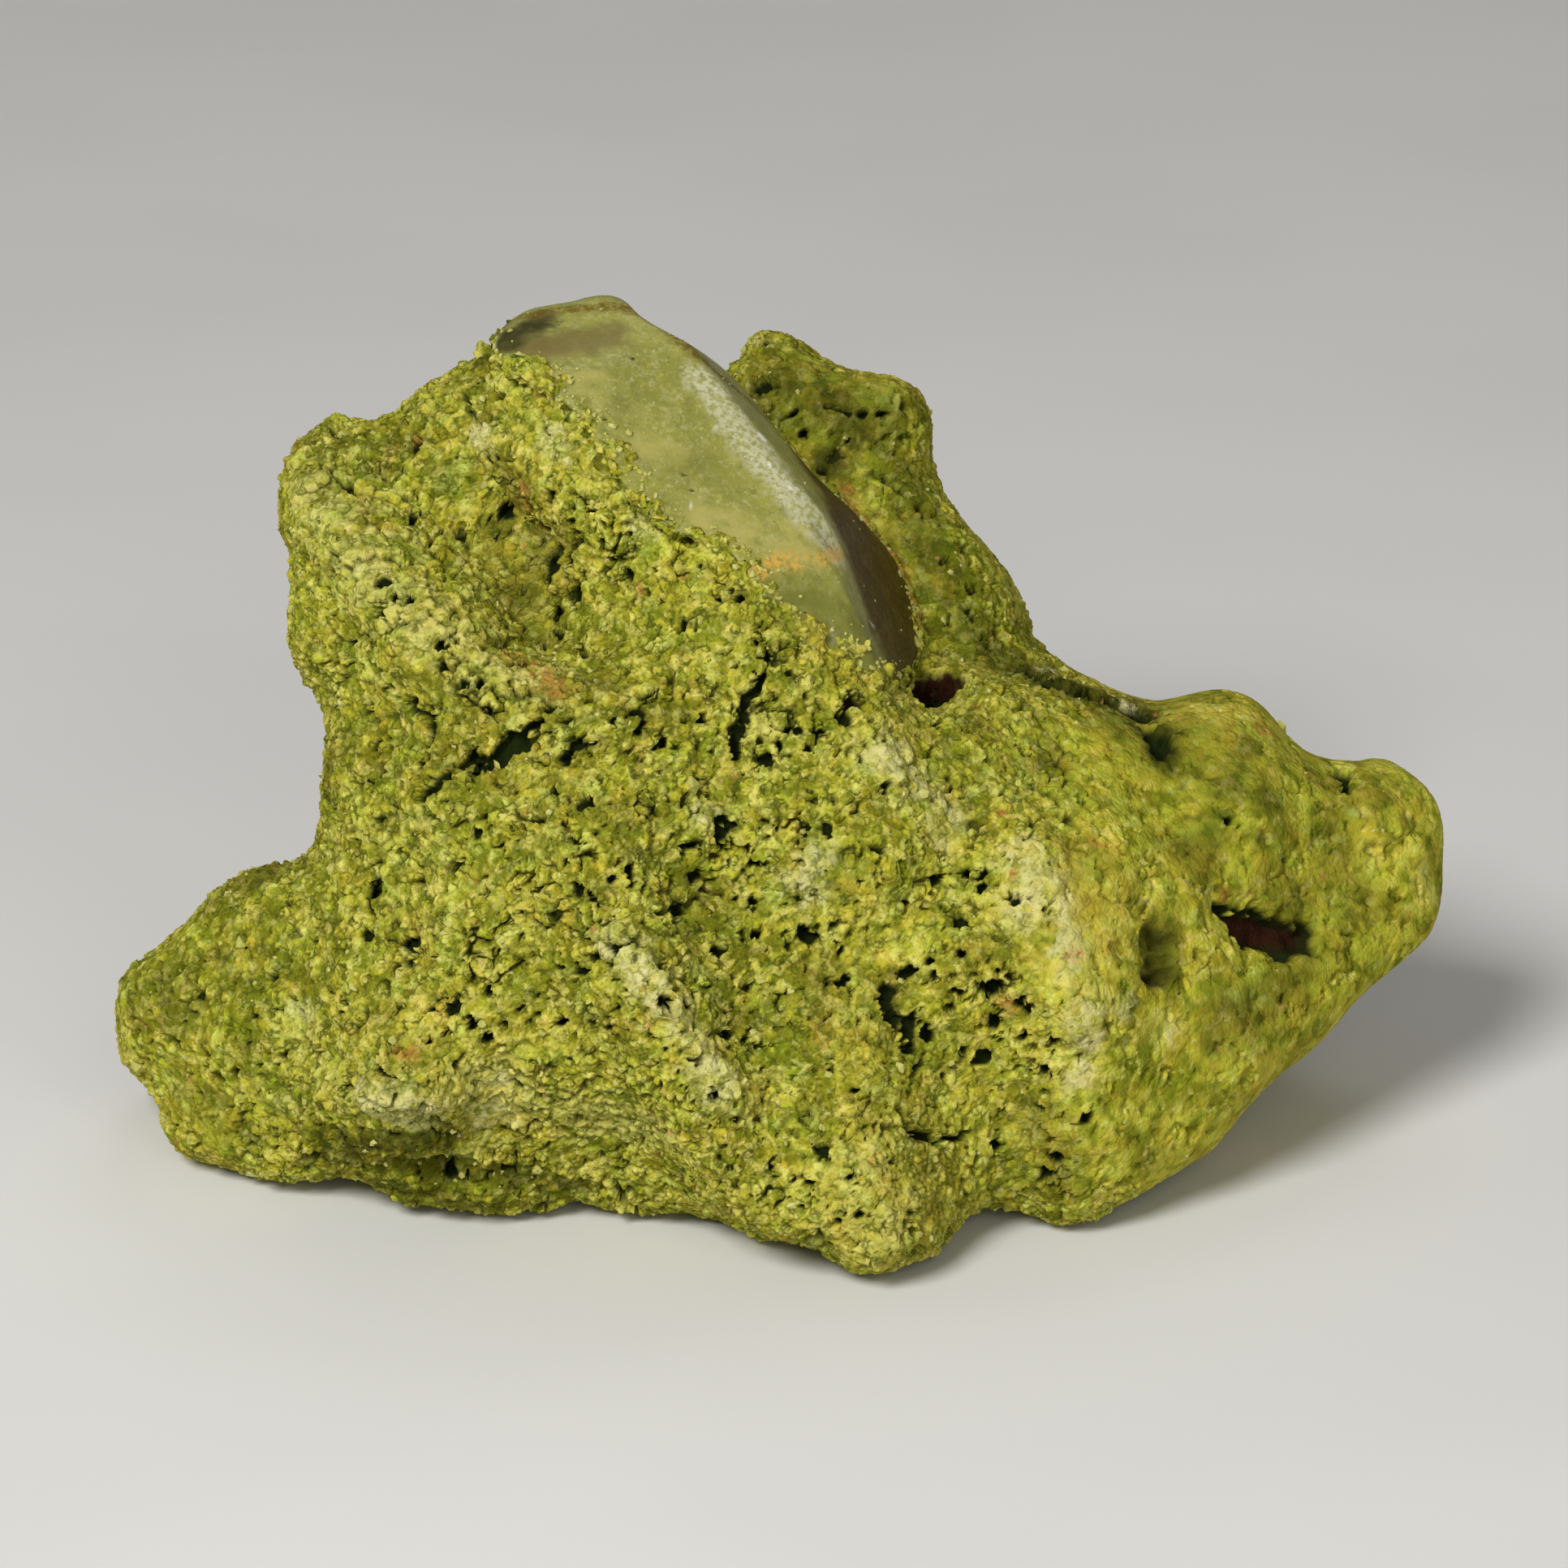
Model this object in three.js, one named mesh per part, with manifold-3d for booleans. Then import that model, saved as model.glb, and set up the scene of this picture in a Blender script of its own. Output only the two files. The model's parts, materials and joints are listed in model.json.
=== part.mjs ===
// A hand specimen of nontronite, a crumbly yellow-green clay mineral, with a lens of common opal on its shoulder.
// Millimetres, +Z up, standing on the flat break of its underside, with the middle of its box over the origin.
//
// The rock was drawn as it looks from one sighting point in front of it, a little above its middle. In the sighting
// frame a place is [across, up, toward]: across to the right, up the picture, and toward the sighting point.

import * as THREE from 'three';
import Module from 'manifold-3d';
import { ImprovedNoise } from 'three/addons/math/ImprovedNoise.js';

// Driving dimensions
const SIGHT_ELEVATION = 20;
const SIGHT_DISTANCE = 420;
const BASE_DROP = 20.9;
const STAND_ACROSS = -0.2;
const STAND_DEPTH = 5.45;
const CONTACT_GAP = 0.35;
const BARE_DEPTH = 24;

// Facets of the rock: their size, how far a doubtful grid corner is moved, what is flat enough to be underside, how
// often the facets are evened out, and a box that holds the whole rock
const FACET = 1.9;
const NUDGE = 0.05;
const FLATTEST = 0.12;
const EVENING_ROUNDS = 4;
const ROOM = new THREE.Box3(new THREE.Vector3(-40, -32, -4), new THREE.Vector3(40, 36, 52));

// Roundness of the form: how far the flanks draw in behind and before the rim, and how soft an edge or a join is
const FLANK_BULGE = 0.014;
const EDGE_ROUND = 4;
const BREAK_ROUND = 2;
const JOIN_ROUND = 2.5;
const OPAL_RIDGE_ROUND = 1.3;
const SURVEY_REACH = 2.3;

// Lumps of the crumbled surface: their size and height, and how close to the rim they fade into the drawn outline
const LUMP_SIZE = 8.5;
const LUMP_HEIGHT = 1.1;
const KNOB_SIZE = 3.9;
const KNOB_HEIGHT = 0.75;
const LUMP_FADE = 12;
const LUMP_FRONT = 0.55;

// Rim of the main mass, clockwise from the waist on the left, in the sighting frame
const MAIN_RIM = [
  [-24.4, -3.6, 0.5], [-24.3, 0.3, 2], [-23.7, 4.3, 3], [-25.7, 6.4, 2], [-25.9, 9.6, 2], [-25.4, 11.1, 1.5],
  [-26.7, 13.4, 0.5], [-26.3, 14.7, 0], [-26.7, 16.1, 0], [-25.7, 18, -0.5], [-24.9, 18.2, -1], [-24, 19.3, -2],
  [-22.4, 19.5, -2], [-21.8, 18.9, -2], [-20.8, 18.9, -2], [-18.7, 21, -1], [-17.2, 21.4, -0.5], [-15.9, 23, -0.5],
  [-13.9, 23.4, -1], [-9.6, 23.8, -2], [-5.6, 22, -3], [-3, 20.2, -3], [-0.6, 17, -3], [1.6, 13.6, -3],
  [4.4, 9.4, -3], [7.6, 6.6, -4], [12.3, 5.9, -7], [13.9, 6.3, -8], [15.3, 5.9, -8], [17.2, 4.9, -8],
  [19.7, 4.2, -8], [21.5, 4.7, -8], [23.1, 4.9, -8], [24.8, 4.3, -8], [26.1, 2.8, -8], [26.6, 1.9, -8],
  [28.6, 1.2, -8], [29.5, 0.7, -8.5], [30.8, 1.4, -9], [32.9, 0.7, -9], [34.3, -0.1, -9], [34.9, -2.5, -9],
  [34.4, -4.4, -8.5], [34.4, -7.2, -7], [33.5, -8.3, -6], [29.3, -11.6, -3], [28.4, -12.9, -2.5], [26.1, -15, -1],
  [23.1, -18.1, 0], [22.6, -19, 0.5], [20.1, -20.6, 1], [17.2, -22.4, 2], [15.9, -23.2, 3.5], [13.8, -23.5, 4],
  [12.7, -22.7, 3], [12.1, -21.8, 0], [10.6, -22.2, 1], [9.5, -22.5, 4], [8.4, -24.4, 8], [5.5, -25.7, 9.5],
  [3.1, -25.5, 9], [1.8, -24.3, 6], [-1.3, -24, 5], [-3.2, -22.8, 2.5], [-7, -22.6, 2], [-8.8, -22.8, 2],
  [-10.2, -22, 0.5], [-11.7, -22, 0.5], [-13.9, -22.6, 2], [-17.7, -22.2, 1], [-20.5, -22.2, 0.5],
  [-21.3, -21.8, 0], [-22.1, -20.7, -1], [-26, -20.8, -2], [-30.9, -19.8, -4], [-32, -19, -4], [-32.6, -17.2, -5],
  [-32.8, -15.4, -6], [-33.8, -15.5, -6], [-34.8, -14.6, -6], [-34.7, -13.3, -6], [-35.1, -10.9, -6],
  [-34.7, -9.9, -6], [-32.6, -8.7, -6], [-32.2, -7.8, -6], [-30.6, -6.8, -5], [-29.7, -5.4, -4], [-27.5, -4.3, -3],
];

// Heights of the front face, surveyed at the middle of each swell and hollow
const FRONT_SURVEY = [
  // upper left block, and its crest that runs down to the right
  [-25, 15.6, 4.5], [-23.6, 14, 8.2], [-21.9, 12, 10.6], [-19.4, 9.4, 12.4], [-16.4, 7.2, 13.2], [-12.4, 5.8, 13.6],
  [-24, 8.7, 6.5], [-22.8, 2.8, 8],
  // hollow under the top
  [-23, 18, 2], [-20.6, 16.8, 2.8], [-17.3, 13.8, 3.6], [-14, 10.9, 4], [-11.8, 8.8, 6.5],
  // top mass beside the opal
  [-18.4, 19.8, 3.5], [-15.5, 20.6, 4.8], [-14.7, 17.4, 7.6], [-11.6, 16, 9.2], [-8.9, 13, 10.4], [-9.2, 10.2, 8.6],
  [-5, 9.4, 11], [-0.5, 6, 11.4], [3.4, 3.6, 10.6],
  // broad swell of the left half
  [-15.5, 0.7, 13], [-15.5, -7.8, 12.6], [-21.9, -7.8, 9.2], [-19.8, -14.2, 11.4], [-20.6, -16.9, 10.8],
  [-11.6, -14.8, 12.2], [-14.7, -19.6, 5.8], [-10, -20.8, 4.5],
  // rib left of the trough
  [-7, 2.8, 14], [-9.2, -3.6, 14.4], [-8.2, -7.4, 16], [-6, -12, 16.8], [-3.4, -15.8, 16],
  // trough, then the rough middle
  [-1.6, -11.4, 11.8], [-3, -6.6, 12.2], [0.2, -16.4, 11.6],
  [-0.7, 1.4, 12.4], [3.6, -3.6, 12.8], [4.8, 0.6, 12], [7.2, -8.6, 11.2], [9.1, 1.6, 8], [9.8, -3.4, 10],
  [10.6, -13, 9.4],
  // front foot and the small foot right of it
  [5, -21.6, 14], [4, -17.6, 14.4], [8.6, -18.6, 9], [11.2, -19.6, 6], [14.6, -21.4, 6.6],
  // rib between the front and the right flank
  [13.4, -1.6, 9.4], [14.4, -6, 10.9], [15.6, -11, 10.9], [15.6, -16, 9.4],
  // right flank
  [14.2, 2.6, 3], [18.4, 0.7, 3], [19.2, -6, 6.4], [22.7, 2.6, -1.5], [23.4, -3.6, 2.2], [29.1, -2.3, -3],
  [33.3, -3.6, -5.5], [26.9, -10, 1], [21.4, -11.4, 5.4], [20.8, -16.4, 4.6], [31.2, -6.5, -3],
  // lower left lobe
  [-26.6, -7, 3], [-26.6, -13.6, 5], [-31.7, -12.1, 0], [-30, -17.6, -0.5], [-25.3, -19.3, 2.6],
];

// Wall that stands up behind the opal
const WALL_RIM = [
  [-2.9, 21.2, -10], [-2.5, 22.6, -11], [-1.5, 24.2, -12], [0.8, 23.4, -13], [3.1, 21.7, -14], [5.3, 21.5, -14],
  [7.4, 20.5, -14], [7.9, 18.5, -14], [7.8, 16.4, -13], [9.3, 14, -12], [11.2, 11.7, -12], [12.3, 8.9, -11],
  [12.4, 7, -10], [13.2, 6.1, -9], [13.2, 2.8, -10], [7.8, 0.2, -10], [-6, 2.8, -12], [-14, 10, -12],
  [-13, 17, -12], [-8, 19.6, -11],
];
const WALL_SURVEY = [
  [0.5, 21, -8.5], [4.8, 17.2, -7], [3.5, 11, -6.5], [9.6, 9.6, -4.8], [11.7, 6.8, -4], [-8, 12, -8],
];

// Broken faces that close the rock behind: outward direction in the object's own axes, and distance from the origin
const BACK_BREAKS = [
  { direction: [0.12, 0.97, 0.2], distance: 26.2 },
  { direction: [-0.66, 0.74, 0.12], distance: 25.4 },
  { direction: [0.62, 0.77, -0.12], distance: 24.4 },
  { direction: [0.3, 0.72, 0.63], distance: 37 },
  { direction: [-0.35, 0.62, 0.7], distance: 39.8 },
  { direction: [-0.1, 0.84, -0.53], distance: 18.7 },
  { direction: [-0.8, 0.5, 0.33], distance: 34.4 },
  { direction: [0.8, 0.52, 0.3], distance: 35 },
];

// Hollows and undercuts taken out of the form: a line through the middle of each, and its radius
const HOLLOWS = [
  // cavity under the tip of the opal
  { line: [[7.4, 5.8, -0.5], [8.4, 4.9, 4.5]], radius: 1.9 },
  // crevice along the top edge of the right flank
  { line: [[12.5, 5.4, -7], [15.3, 4.7, -5], [18.6, 3.2, -3.4], [19.8, 2, -1.8]], radius: 0.95 },
  // undercut below the bright ledge, and the step under it
  { line: [[-25, -18, 6.6], [-21.5, -18.7, 9], [-17.2, -18.2, 10.6], [-14.4, -18.6, 8.4]], radius: 1.7 },
  { line: [[-21.8, -20.6, 4.5], [-18, -20.2, 6], [-13, -20.5, 6]], radius: 1.2 },
  // hole in the right flank
  { line: [[23.6, -6.8, 3.6], [26.6, -8.2, 2]], radius: 1.25 },
  // pits and cracks of the rough middle
  { line: [[5.2, -10.6, 12.4], [6.2, -13, 11.4]], radius: 1.1 },
  { line: [[10.4, -10.6, 9.6], [11, -12.8, 9.2]], radius: 1 },
  { line: [[-1.6, 4.6, 13.4], [-2.2, 1.2, 13.4]], radius: 0.95 },
  { line: [[-19.6, 3.8, 12], [-19.2, 1.6, 12.6]], radius: 1 },
  { line: [[-17.8, 0.8, 13.2], [-13.4, 2.8, 13.6]], radius: 0.8 },
  // hollows of the back
  { line: [[-16, 6, -30], [-6, 9, -31]], radius: 5 },
  { line: [[16, -10, -30], [22, -4, -26]], radius: 4 },
];

// Opal: rim, and its broken faces, each as its height at the middle of the view and its fall across and up
const OPAL_RIM = [
  [-14.6, 24.1, 1], [-13.4, 24.9, 0.5], [-11.3, 25.3, 0], [-9.4, 25.7, -0.5], [-8.3, 25.3, -0.5], [-7.7, 24.6, -0.5],
  [-5.8, 23.5, -1], [-4.2, 22.6, -1.5], [-2.6, 21.2, -2.5], [-0.5, 18.7, -3.5], [1.7, 16, -5], [4, 13.9, -5.5],
  [6.1, 11.3, -6], [7.4, 8.5, -6], [7, 6.4, -2], [6, 4.6, 3], [4, 5.6, 6], [0.8, 7.7, 7], [-1.3, 9.6, 7.5],
  [-3, 12.2, 7.5], [-5.4, 12.9, 7.5], [-7.1, 13.9, 7], [-8.5, 15.6, 7], [-9.8, 17.3, 6.5], [-10.5, 19, 6],
  [-11.7, 20, 5], [-13.4, 21.1, 4], [-15, 22.1, 3], [-15.3, 23.2, 2],
];
const OPAL_FACES = [
  // wide pale face, small face at its top left, and the duller face below the rusty seam
  { height: 18.55, across: -0.35, up: -0.75 },
  { height: 39.1, across: 0.05, up: -1.5 },
  { height: 12.87, across: -0.52, up: -0.27 },
  // steep brown side, in two faces
  { height: 64.2, across: -4, up: -3.5 },
  { height: 37.5, across: -4, up: -1.58 },
];
const OPAL_BED = { height: 1, across: -0.5, up: -0.35 };

// Middle of the opal, and the rings of corners between it and the rim: before the rim, and on the bed behind
const OPAL_MIDDLE = [-3.5, 16.5];
const OPAL_FRONT_RINGS = [0.97, 0.87, 0.75, 0.6, 0.44, 0.28, 0.14];
const OPAL_BED_RINGS = [0.86, 0.45];

const wasm = await Module();
wasm.setup();

const noise = new ImprovedNoise();
const sine = Math.sin(THREE.MathUtils.degToRad(SIGHT_ELEVATION));
const cosine = Math.cos(THREE.MathUtils.degToRad(SIGHT_ELEVATION));

// Turns a place of the sighting frame into the object's axes
function fromSight(place) {
  return new THREE.Vector3(
    place.x - STAND_ACROSS,
    place.y * sine - place.z * cosine - STAND_DEPTH,
    place.y * cosine + place.z * sine + BASE_DROP,
  );
}

// Turns a point of the object's axes into the sighting frame
function toSight(point) {
  const depth = point.y + STAND_DEPTH;
  const height = point.z - BASE_DROP;
  return new THREE.Vector3(
    point.x + STAND_ACROSS,
    depth * sine + height * cosine,
    height * sine - depth * cosine,
  );
}

function smoothMax(a, b, round) {
  const blend = Math.max(round - Math.abs(a - b), 0) / round;
  return Math.max(a, b) + (blend * blend * round) / 4;
}

function smoothMin(a, b, round) {
  return -smoothMax(-a, -b, round);
}

// Rim as a closed smooth line, sampled finely enough to measure from
function smoothRim(rim, steps = 3) {
  const curve = new THREE.CatmullRomCurve3(rim.map((place) => new THREE.Vector3(...place)), true, 'centripetal');
  return curve.getPoints(rim.length * steps).slice(0, -1);
}

// Signed distance of a place from the rim as it is seen, negative inside, and the rim's own depth nearby
function rimDistance(rim, across, up) {
  let nearest = Infinity;
  let inside = false;
  let weightSum = 0;
  let depthSum = 0;
  for (let i = 0, j = rim.length - 1; i < rim.length; j = i, i += 1) {
    const a = rim[j];
    const b = rim[i];
    const edgeAcross = b.x - a.x;
    const edgeUp = b.y - a.y;
    const along = ((across - a.x) * edgeAcross + (up - a.y) * edgeUp) / (edgeAcross ** 2 + edgeUp ** 2);
    const t = Math.min(Math.max(along, 0), 1);
    const squared = (across - a.x - t * edgeAcross) ** 2 + (up - a.y - t * edgeUp) ** 2;
    const weight = 1 / (squared + 0.5) ** 2;
    nearest = Math.min(nearest, squared);
    weightSum += weight;
    depthSum += weight * (a.z + t * (b.z - a.z));
    if ((a.y > up) !== (b.y > up) && across < a.x + ((up - a.y) / edgeUp) * edgeAcross) {
      inside = !inside;
    }
  }
  return { distance: inside ? -Math.sqrt(nearest) : Math.sqrt(nearest), depth: depthSum / weightSum };
}

// Height of a surveyed face at a place
function surveyed(survey, across, up) {
  let weightSum = 0;
  let heightSum = 0;
  for (const [spotAcross, spotUp, height] of survey) {
    const squared = (across - spotAcross) ** 2 + (up - spotUp) ** 2;
    const weight = Math.exp(-squared / (2 * SURVEY_REACH ** 2)) + 1e-3 / (1 + squared);
    weightSum += weight;
    heightSum += weight * height;
  }
  return heightSum / weightSum;
}

// Distance of a point from a line of straight stretches
function lineDistance(line, point) {
  const nearest = new THREE.Vector3();
  let distance = Infinity;
  for (let i = 1; i < line.length; i += 1) {
    new THREE.Line3(line[i - 1], line[i]).closestPointToPoint(point, true, nearest);
    distance = Math.min(distance, nearest.distanceTo(point));
  }
  return distance;
}

// Place as it is seen from the sighting point: the same for all places on one line of sight
function seenFrom(place) {
  return SIGHT_DISTANCE / (SIGHT_DISTANCE - place.z);
}

// Flank that rises from a drawn rim: its field, and how far the place is from the rim's depth, before it or behind
function flankOf(rim, bulge, place) {
  const seen = seenFrom(place);
  const edge = rimDistance(rim, place.x * seen, place.y * seen);
  const fromRim = Math.abs(place.z - edge.depth);
  return { field: edge.distance + bulge * fromRim ** 2, fromRim, front: place.z > edge.depth };
}

// Mass between its surveyed front face and its drawn rim
function surveyedMass(rim, survey, place) {
  const seen = seenFrom(place);
  const flank = flankOf(rim, FLANK_BULGE, place);
  const front = place.z - surveyed(survey, place.x * seen, place.y * seen);
  return { field: smoothMax(flank.field, front, EDGE_ROUND), fromRim: flank.fromRim, front: flank.front };
}

// Height of a flat face at a place
function heightOf(face, across, up) {
  return face.height + face.across * across + face.up * up;
}

const mainRim = smoothRim(MAIN_RIM);
const wallRim = smoothRim(WALL_RIM);
const opalRim = smoothRim(OPAL_RIM, 2);
const backBreaks = BACK_BREAKS.map(({ direction, distance }) => (
  { normal: new THREE.Vector3(...direction).normalize(), distance }
));
const hollows = HOLLOWS.map(({ line, radius }) => (
  { line: line.map((place) => new THREE.Vector3(...place)), radius }
));

// Crumbled lumps with creases between them, coarse ones and the knobs on them: how far the surface sinks at a point
function lumps(point) {
  const coarse = Math.abs(noise.noise(point.x / LUMP_SIZE + 11.3, point.y / LUMP_SIZE, point.z / LUMP_SIZE));
  const fine = noise.noise(point.x / KNOB_SIZE, point.y / KNOB_SIZE + 5.7, point.z / KNOB_SIZE);
  return LUMP_HEIGHT * (1 - 4 * coarse) + KNOB_HEIGHT * fine;
}

// Field of the whole rock, negative inside
function rockField(point) {
  const place = toSight(point);
  const main = surveyedMass(mainRim, FRONT_SURVEY, place);
  const wall = surveyedMass(wallRim, WALL_SURVEY, place);
  let field = smoothMin(main.field, wall.field, JOIN_ROUND);
  for (const { normal, distance } of backBreaks) {
    field = smoothMax(field, normal.dot(point) - distance, BREAK_ROUND);
  }
  const fade = Math.min(Math.min(main.fromRim, wall.fromRim) / LUMP_FADE, 1);
  field += fade * (main.front ? LUMP_FRONT : 1) * lumps(point);
  for (const { line, radius } of hollows) {
    field = smoothMax(field, radius - lineDistance(line, place), radius / 2);
  }
  return Math.max(field, -point.z);
}

// Slope of a field
function slopeOf(field, point) {
  const reach = 0.05;
  const here = field(point);
  const ahead = (axis) => {
    const moved = point.clone();
    moved.setComponent(axis, moved.getComponent(axis) + reach);
    return (field(moved) - here) / reach;
  };
  return { here, slope: new THREE.Vector3(ahead(0), ahead(1), ahead(2)) };
}

// Moves a point onto the surface where the field is zero
function settle(field, point, longestStep) {
  const { here, slope } = slopeOf(field, point);
  const move = slope.multiplyScalar(-here / Math.max(slope.lengthSq(), 0.05));
  point.add(move.clampLength(0, longestStep));
}

// Where a grid face has its inside corners on one diagonal and its outside corners on the other, the skin would
// touch itself along an edge, so the corner nearest the surface changes sides
function partDiagonals(values, stride) {
  let changed = true;
  while (changed) {
    changed = false;
    for (let here = 0; here < values.length - stride[2] - stride[1] - 1; here += 1) {
      for (let axis = 0; axis < 3; axis += 1) {
        const [next, last] = [stride[(axis + 1) % 3], stride[(axis + 2) % 3]];
        const face = [here, here + next, here + next + last, here + last];
        const inside = face.map((corner) => values[corner] < 0);
        if (inside[0] === inside[2] && inside[1] === inside[3] && inside[0] !== inside[1]) {
          const weakest = face.reduce((a, b) => (Math.abs(values[a]) < Math.abs(values[b]) ? a : b));
          values[weakest] = values[weakest] < 0 ? NUDGE : -NUDGE;
          changed = true;
        }
      }
    }
  }
}

// Closed skin of facets around a field: one corner in each cell of a grid that the surface crosses, and one
// four-sided facet around each grid edge that it crosses
function skinOf(field, box, facet) {
  const size = box.getSize(new THREE.Vector3());
  const count = size.toArray().map((side) => Math.ceil(side / facet) + 1);
  const stride = [1, count[0], count[0] * count[1]];
  const gridPoint = (i, j, k) => new THREE.Vector3(i, j, k).multiplyScalar(facet).add(box.min);
  const values = new Float32Array(count[0] * count[1] * count[2]);
  for (let k = 0; k < count[2]; k += 1) {
    for (let j = 0; j < count[1]; j += 1) {
      for (let i = 0; i < count[0]; i += 1) {
        values[i + j * stride[1] + k * stride[2]] = field(gridPoint(i, j, k));
      }
    }
  }
  partDiagonals(values, stride);

  const corners = [];
  const cornerOfCell = new Map();
  const cellCorner = (cell) => {
    if (cornerOfCell.has(cell)) {
      return cornerOfCell.get(cell);
    }
    const origin = [cell % count[0], Math.floor(cell / stride[1]) % count[1], Math.floor(cell / stride[2])];
    const sum = new THREE.Vector3();
    let crossings = 0;
    for (let axis = 0; axis < 3; axis += 1) {
      const [next, last] = [(axis + 1) % 3, (axis + 2) % 3];
      for (const [a, b] of [[0, 0], [1, 0], [0, 1], [1, 1]]) {
        const start = cell + a * stride[next] + b * stride[last];
        const [low, high] = [values[start], values[start + stride[axis]]];
        if ((low < 0) !== (high < 0)) {
          const crossing = new THREE.Vector3(...origin);
          crossing.setComponent(next, origin[next] + a);
          crossing.setComponent(last, origin[last] + b);
          crossing.setComponent(axis, origin[axis] + low / (low - high));
          sum.add(crossing);
          crossings += 1;
        }
      }
    }
    corners.push(sum.divideScalar(crossings).multiplyScalar(facet).add(box.min));
    cornerOfCell.set(cell, corners.length - 1);
    return corners.length - 1;
  };

  const quads = [];
  for (let k = 1; k < count[2] - 1; k += 1) {
    for (let j = 1; j < count[1] - 1; j += 1) {
      for (let i = 1; i < count[0] - 1; i += 1) {
        const here = i + j * stride[1] + k * stride[2];
        for (let axis = 0; axis < 3; axis += 1) {
          const [low, high] = [values[here], values[here + stride[axis]]];
          if ((low < 0) !== (high < 0)) {
            const [next, last] = [stride[(axis + 1) % 3], stride[(axis + 2) % 3]];
            const ring = [here - next - last, here - last, here, here - next].map(cellCorner);
            quads.push(low < 0 ? ring : ring.reverse());
          }
        }
      }
    }
  }
  return { corners, quads };
}

// Evens the corners out along the surface, keeping them on it
function relax(field, skin, facet, rounds) {
  const neighbours = skin.corners.map(() => new Set());
  for (const quad of skin.quads) {
    quad.forEach((corner, side) => {
      const next = quad[(side + 1) % 4];
      neighbours[corner].add(next);
      neighbours[next].add(corner);
    });
  }
  for (let round = 0; round < rounds; round += 1) {
    const averages = skin.corners.map((corner, index) => {
      const sum = new THREE.Vector3();
      neighbours[index].forEach((other) => sum.add(skin.corners[other]));
      return sum.divideScalar(neighbours[index].size);
    });
    skin.corners.forEach((corner, index) => {
      corner.lerp(averages[index], 0.5);
      settle(field, corner, facet / 3);
      settle(field, corner, facet / 3);
    });
  }
}

// Splits each four-sided facet along its shorter diagonal
function trianglesOf(skin) {
  const triangles = [];
  for (const [a, b, c, d] of skin.quads) {
    const across = skin.corners[a].distanceTo(skin.corners[c]);
    const other = skin.corners[b].distanceTo(skin.corners[d]);
    if (across < other) {
      triangles.push(a, b, c, a, c, d);
    } else {
      triangles.push(a, b, d, b, c, d);
    }
  }
  return triangles;
}

// Solid of a skin, for the cut
function solidOf(corners, triangles) {
  return new wasm.Manifold(new wasm.Mesh({
    numProp: 3,
    vertProperties: new Float32Array(corners.flatMap((corner) => corner.toArray())),
    triVerts: new Uint32Array(triangles),
  }));
}

// The same skin moved outward by the gap that is left around the opal
function swollen(corners, triangles, gap) {
  const normals = corners.map(() => new THREE.Vector3());
  for (let i = 0; i < triangles.length; i += 3) {
    const [a, b, c] = [0, 1, 2].map((side) => corners[triangles[i + side]]);
    const normal = b.clone().sub(a).cross(c.clone().sub(a));
    [0, 1, 2].forEach((side) => normals[triangles[i + side]].add(normal));
  }
  return corners.map((corner, index) => corner.clone().addScaledVector(normals[index].normalize(), gap));
}

function geometryOf(solid) {
  const mesh = solid.getMesh();
  const geometry = new THREE.BufferGeometry();
  geometry.setAttribute('position', new THREE.BufferAttribute(mesh.vertProperties, 3));
  geometry.setIndex(new THREE.BufferAttribute(mesh.triVerts, 1));
  geometry.computeVertexNormals();
  return geometry;
}

// Ring of corners at a share of the way from the opal's middle to its rim, at the height that a rule gives
function opalRing(share, heightAt) {
  const [middleAcross, middleUp] = OPAL_MIDDLE;
  return opalRim.map((place) => {
    const narrowing = 1 / seenFrom(place);
    const across = middleAcross + share * (place.x * narrowing - middleAcross);
    const up = middleUp + share * (place.y * narrowing - middleUp);
    return fromSight(new THREE.Vector3(across, up, heightAt(across, up, place)));
  });
}

// Opal as a lens: rings over its broken faces on one side of the rim, and over its bed on the other. Each stretch
// between two rings is split along its higher diagonal, which keeps the ridges sharp
function makeOpal() {
  const front = (across, up) => OPAL_FACES.reduce(
    (height, face) => smoothMin(height, heightOf(face, across, up), OPAL_RIDGE_ROUND),
    Infinity,
  );
  const bed = (across, up) => heightOf(OPAL_BED, across, up);
  const rings = [
    ...OPAL_BED_RINGS.map((share) => opalRing(share, bed)).reverse(),
    opalRing(1, (across, up, place) => place.z),
    ...OPAL_FRONT_RINGS.map((share) => opalRing(share, front)),
  ];
  const count = opalRim.length;
  const corners = rings.flat();
  const triangles = [];
  const facet = (a, b, c) => triangles.push(a, b, c);
  const heightBetween = (a, b) => toSight(corners[a].clone().lerp(corners[b], 0.5)).z;
  for (let ring = 0; ring + 1 < rings.length; ring += 1) {
    for (let i = 0; i < count; i += 1) {
      const next = (i + 1) % count;
      const [a, b, c, d] = [i, next, i + count, next + count].map((corner) => corner + ring * count);
      if (heightBetween(a, d) > heightBetween(b, c)) {
        facet(a, c, d);
        facet(a, d, b);
      } else {
        facet(a, c, b);
        facet(b, c, d);
      }
    }
  }
  const [across, up] = OPAL_MIDDLE;
  const back = corners.push(fromSight(new THREE.Vector3(across, up, bed(across, up)))) - 1;
  const crown = corners.push(fromSight(new THREE.Vector3(across, up, front(across, up)))) - 1;
  const last = (rings.length - 1) * count;
  for (let i = 0; i < count; i += 1) {
    const next = (i + 1) % count;
    facet(back, i, next);
    facet(crown, last + next, last + i);
  }
  return { corners, triangles };
}

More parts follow.
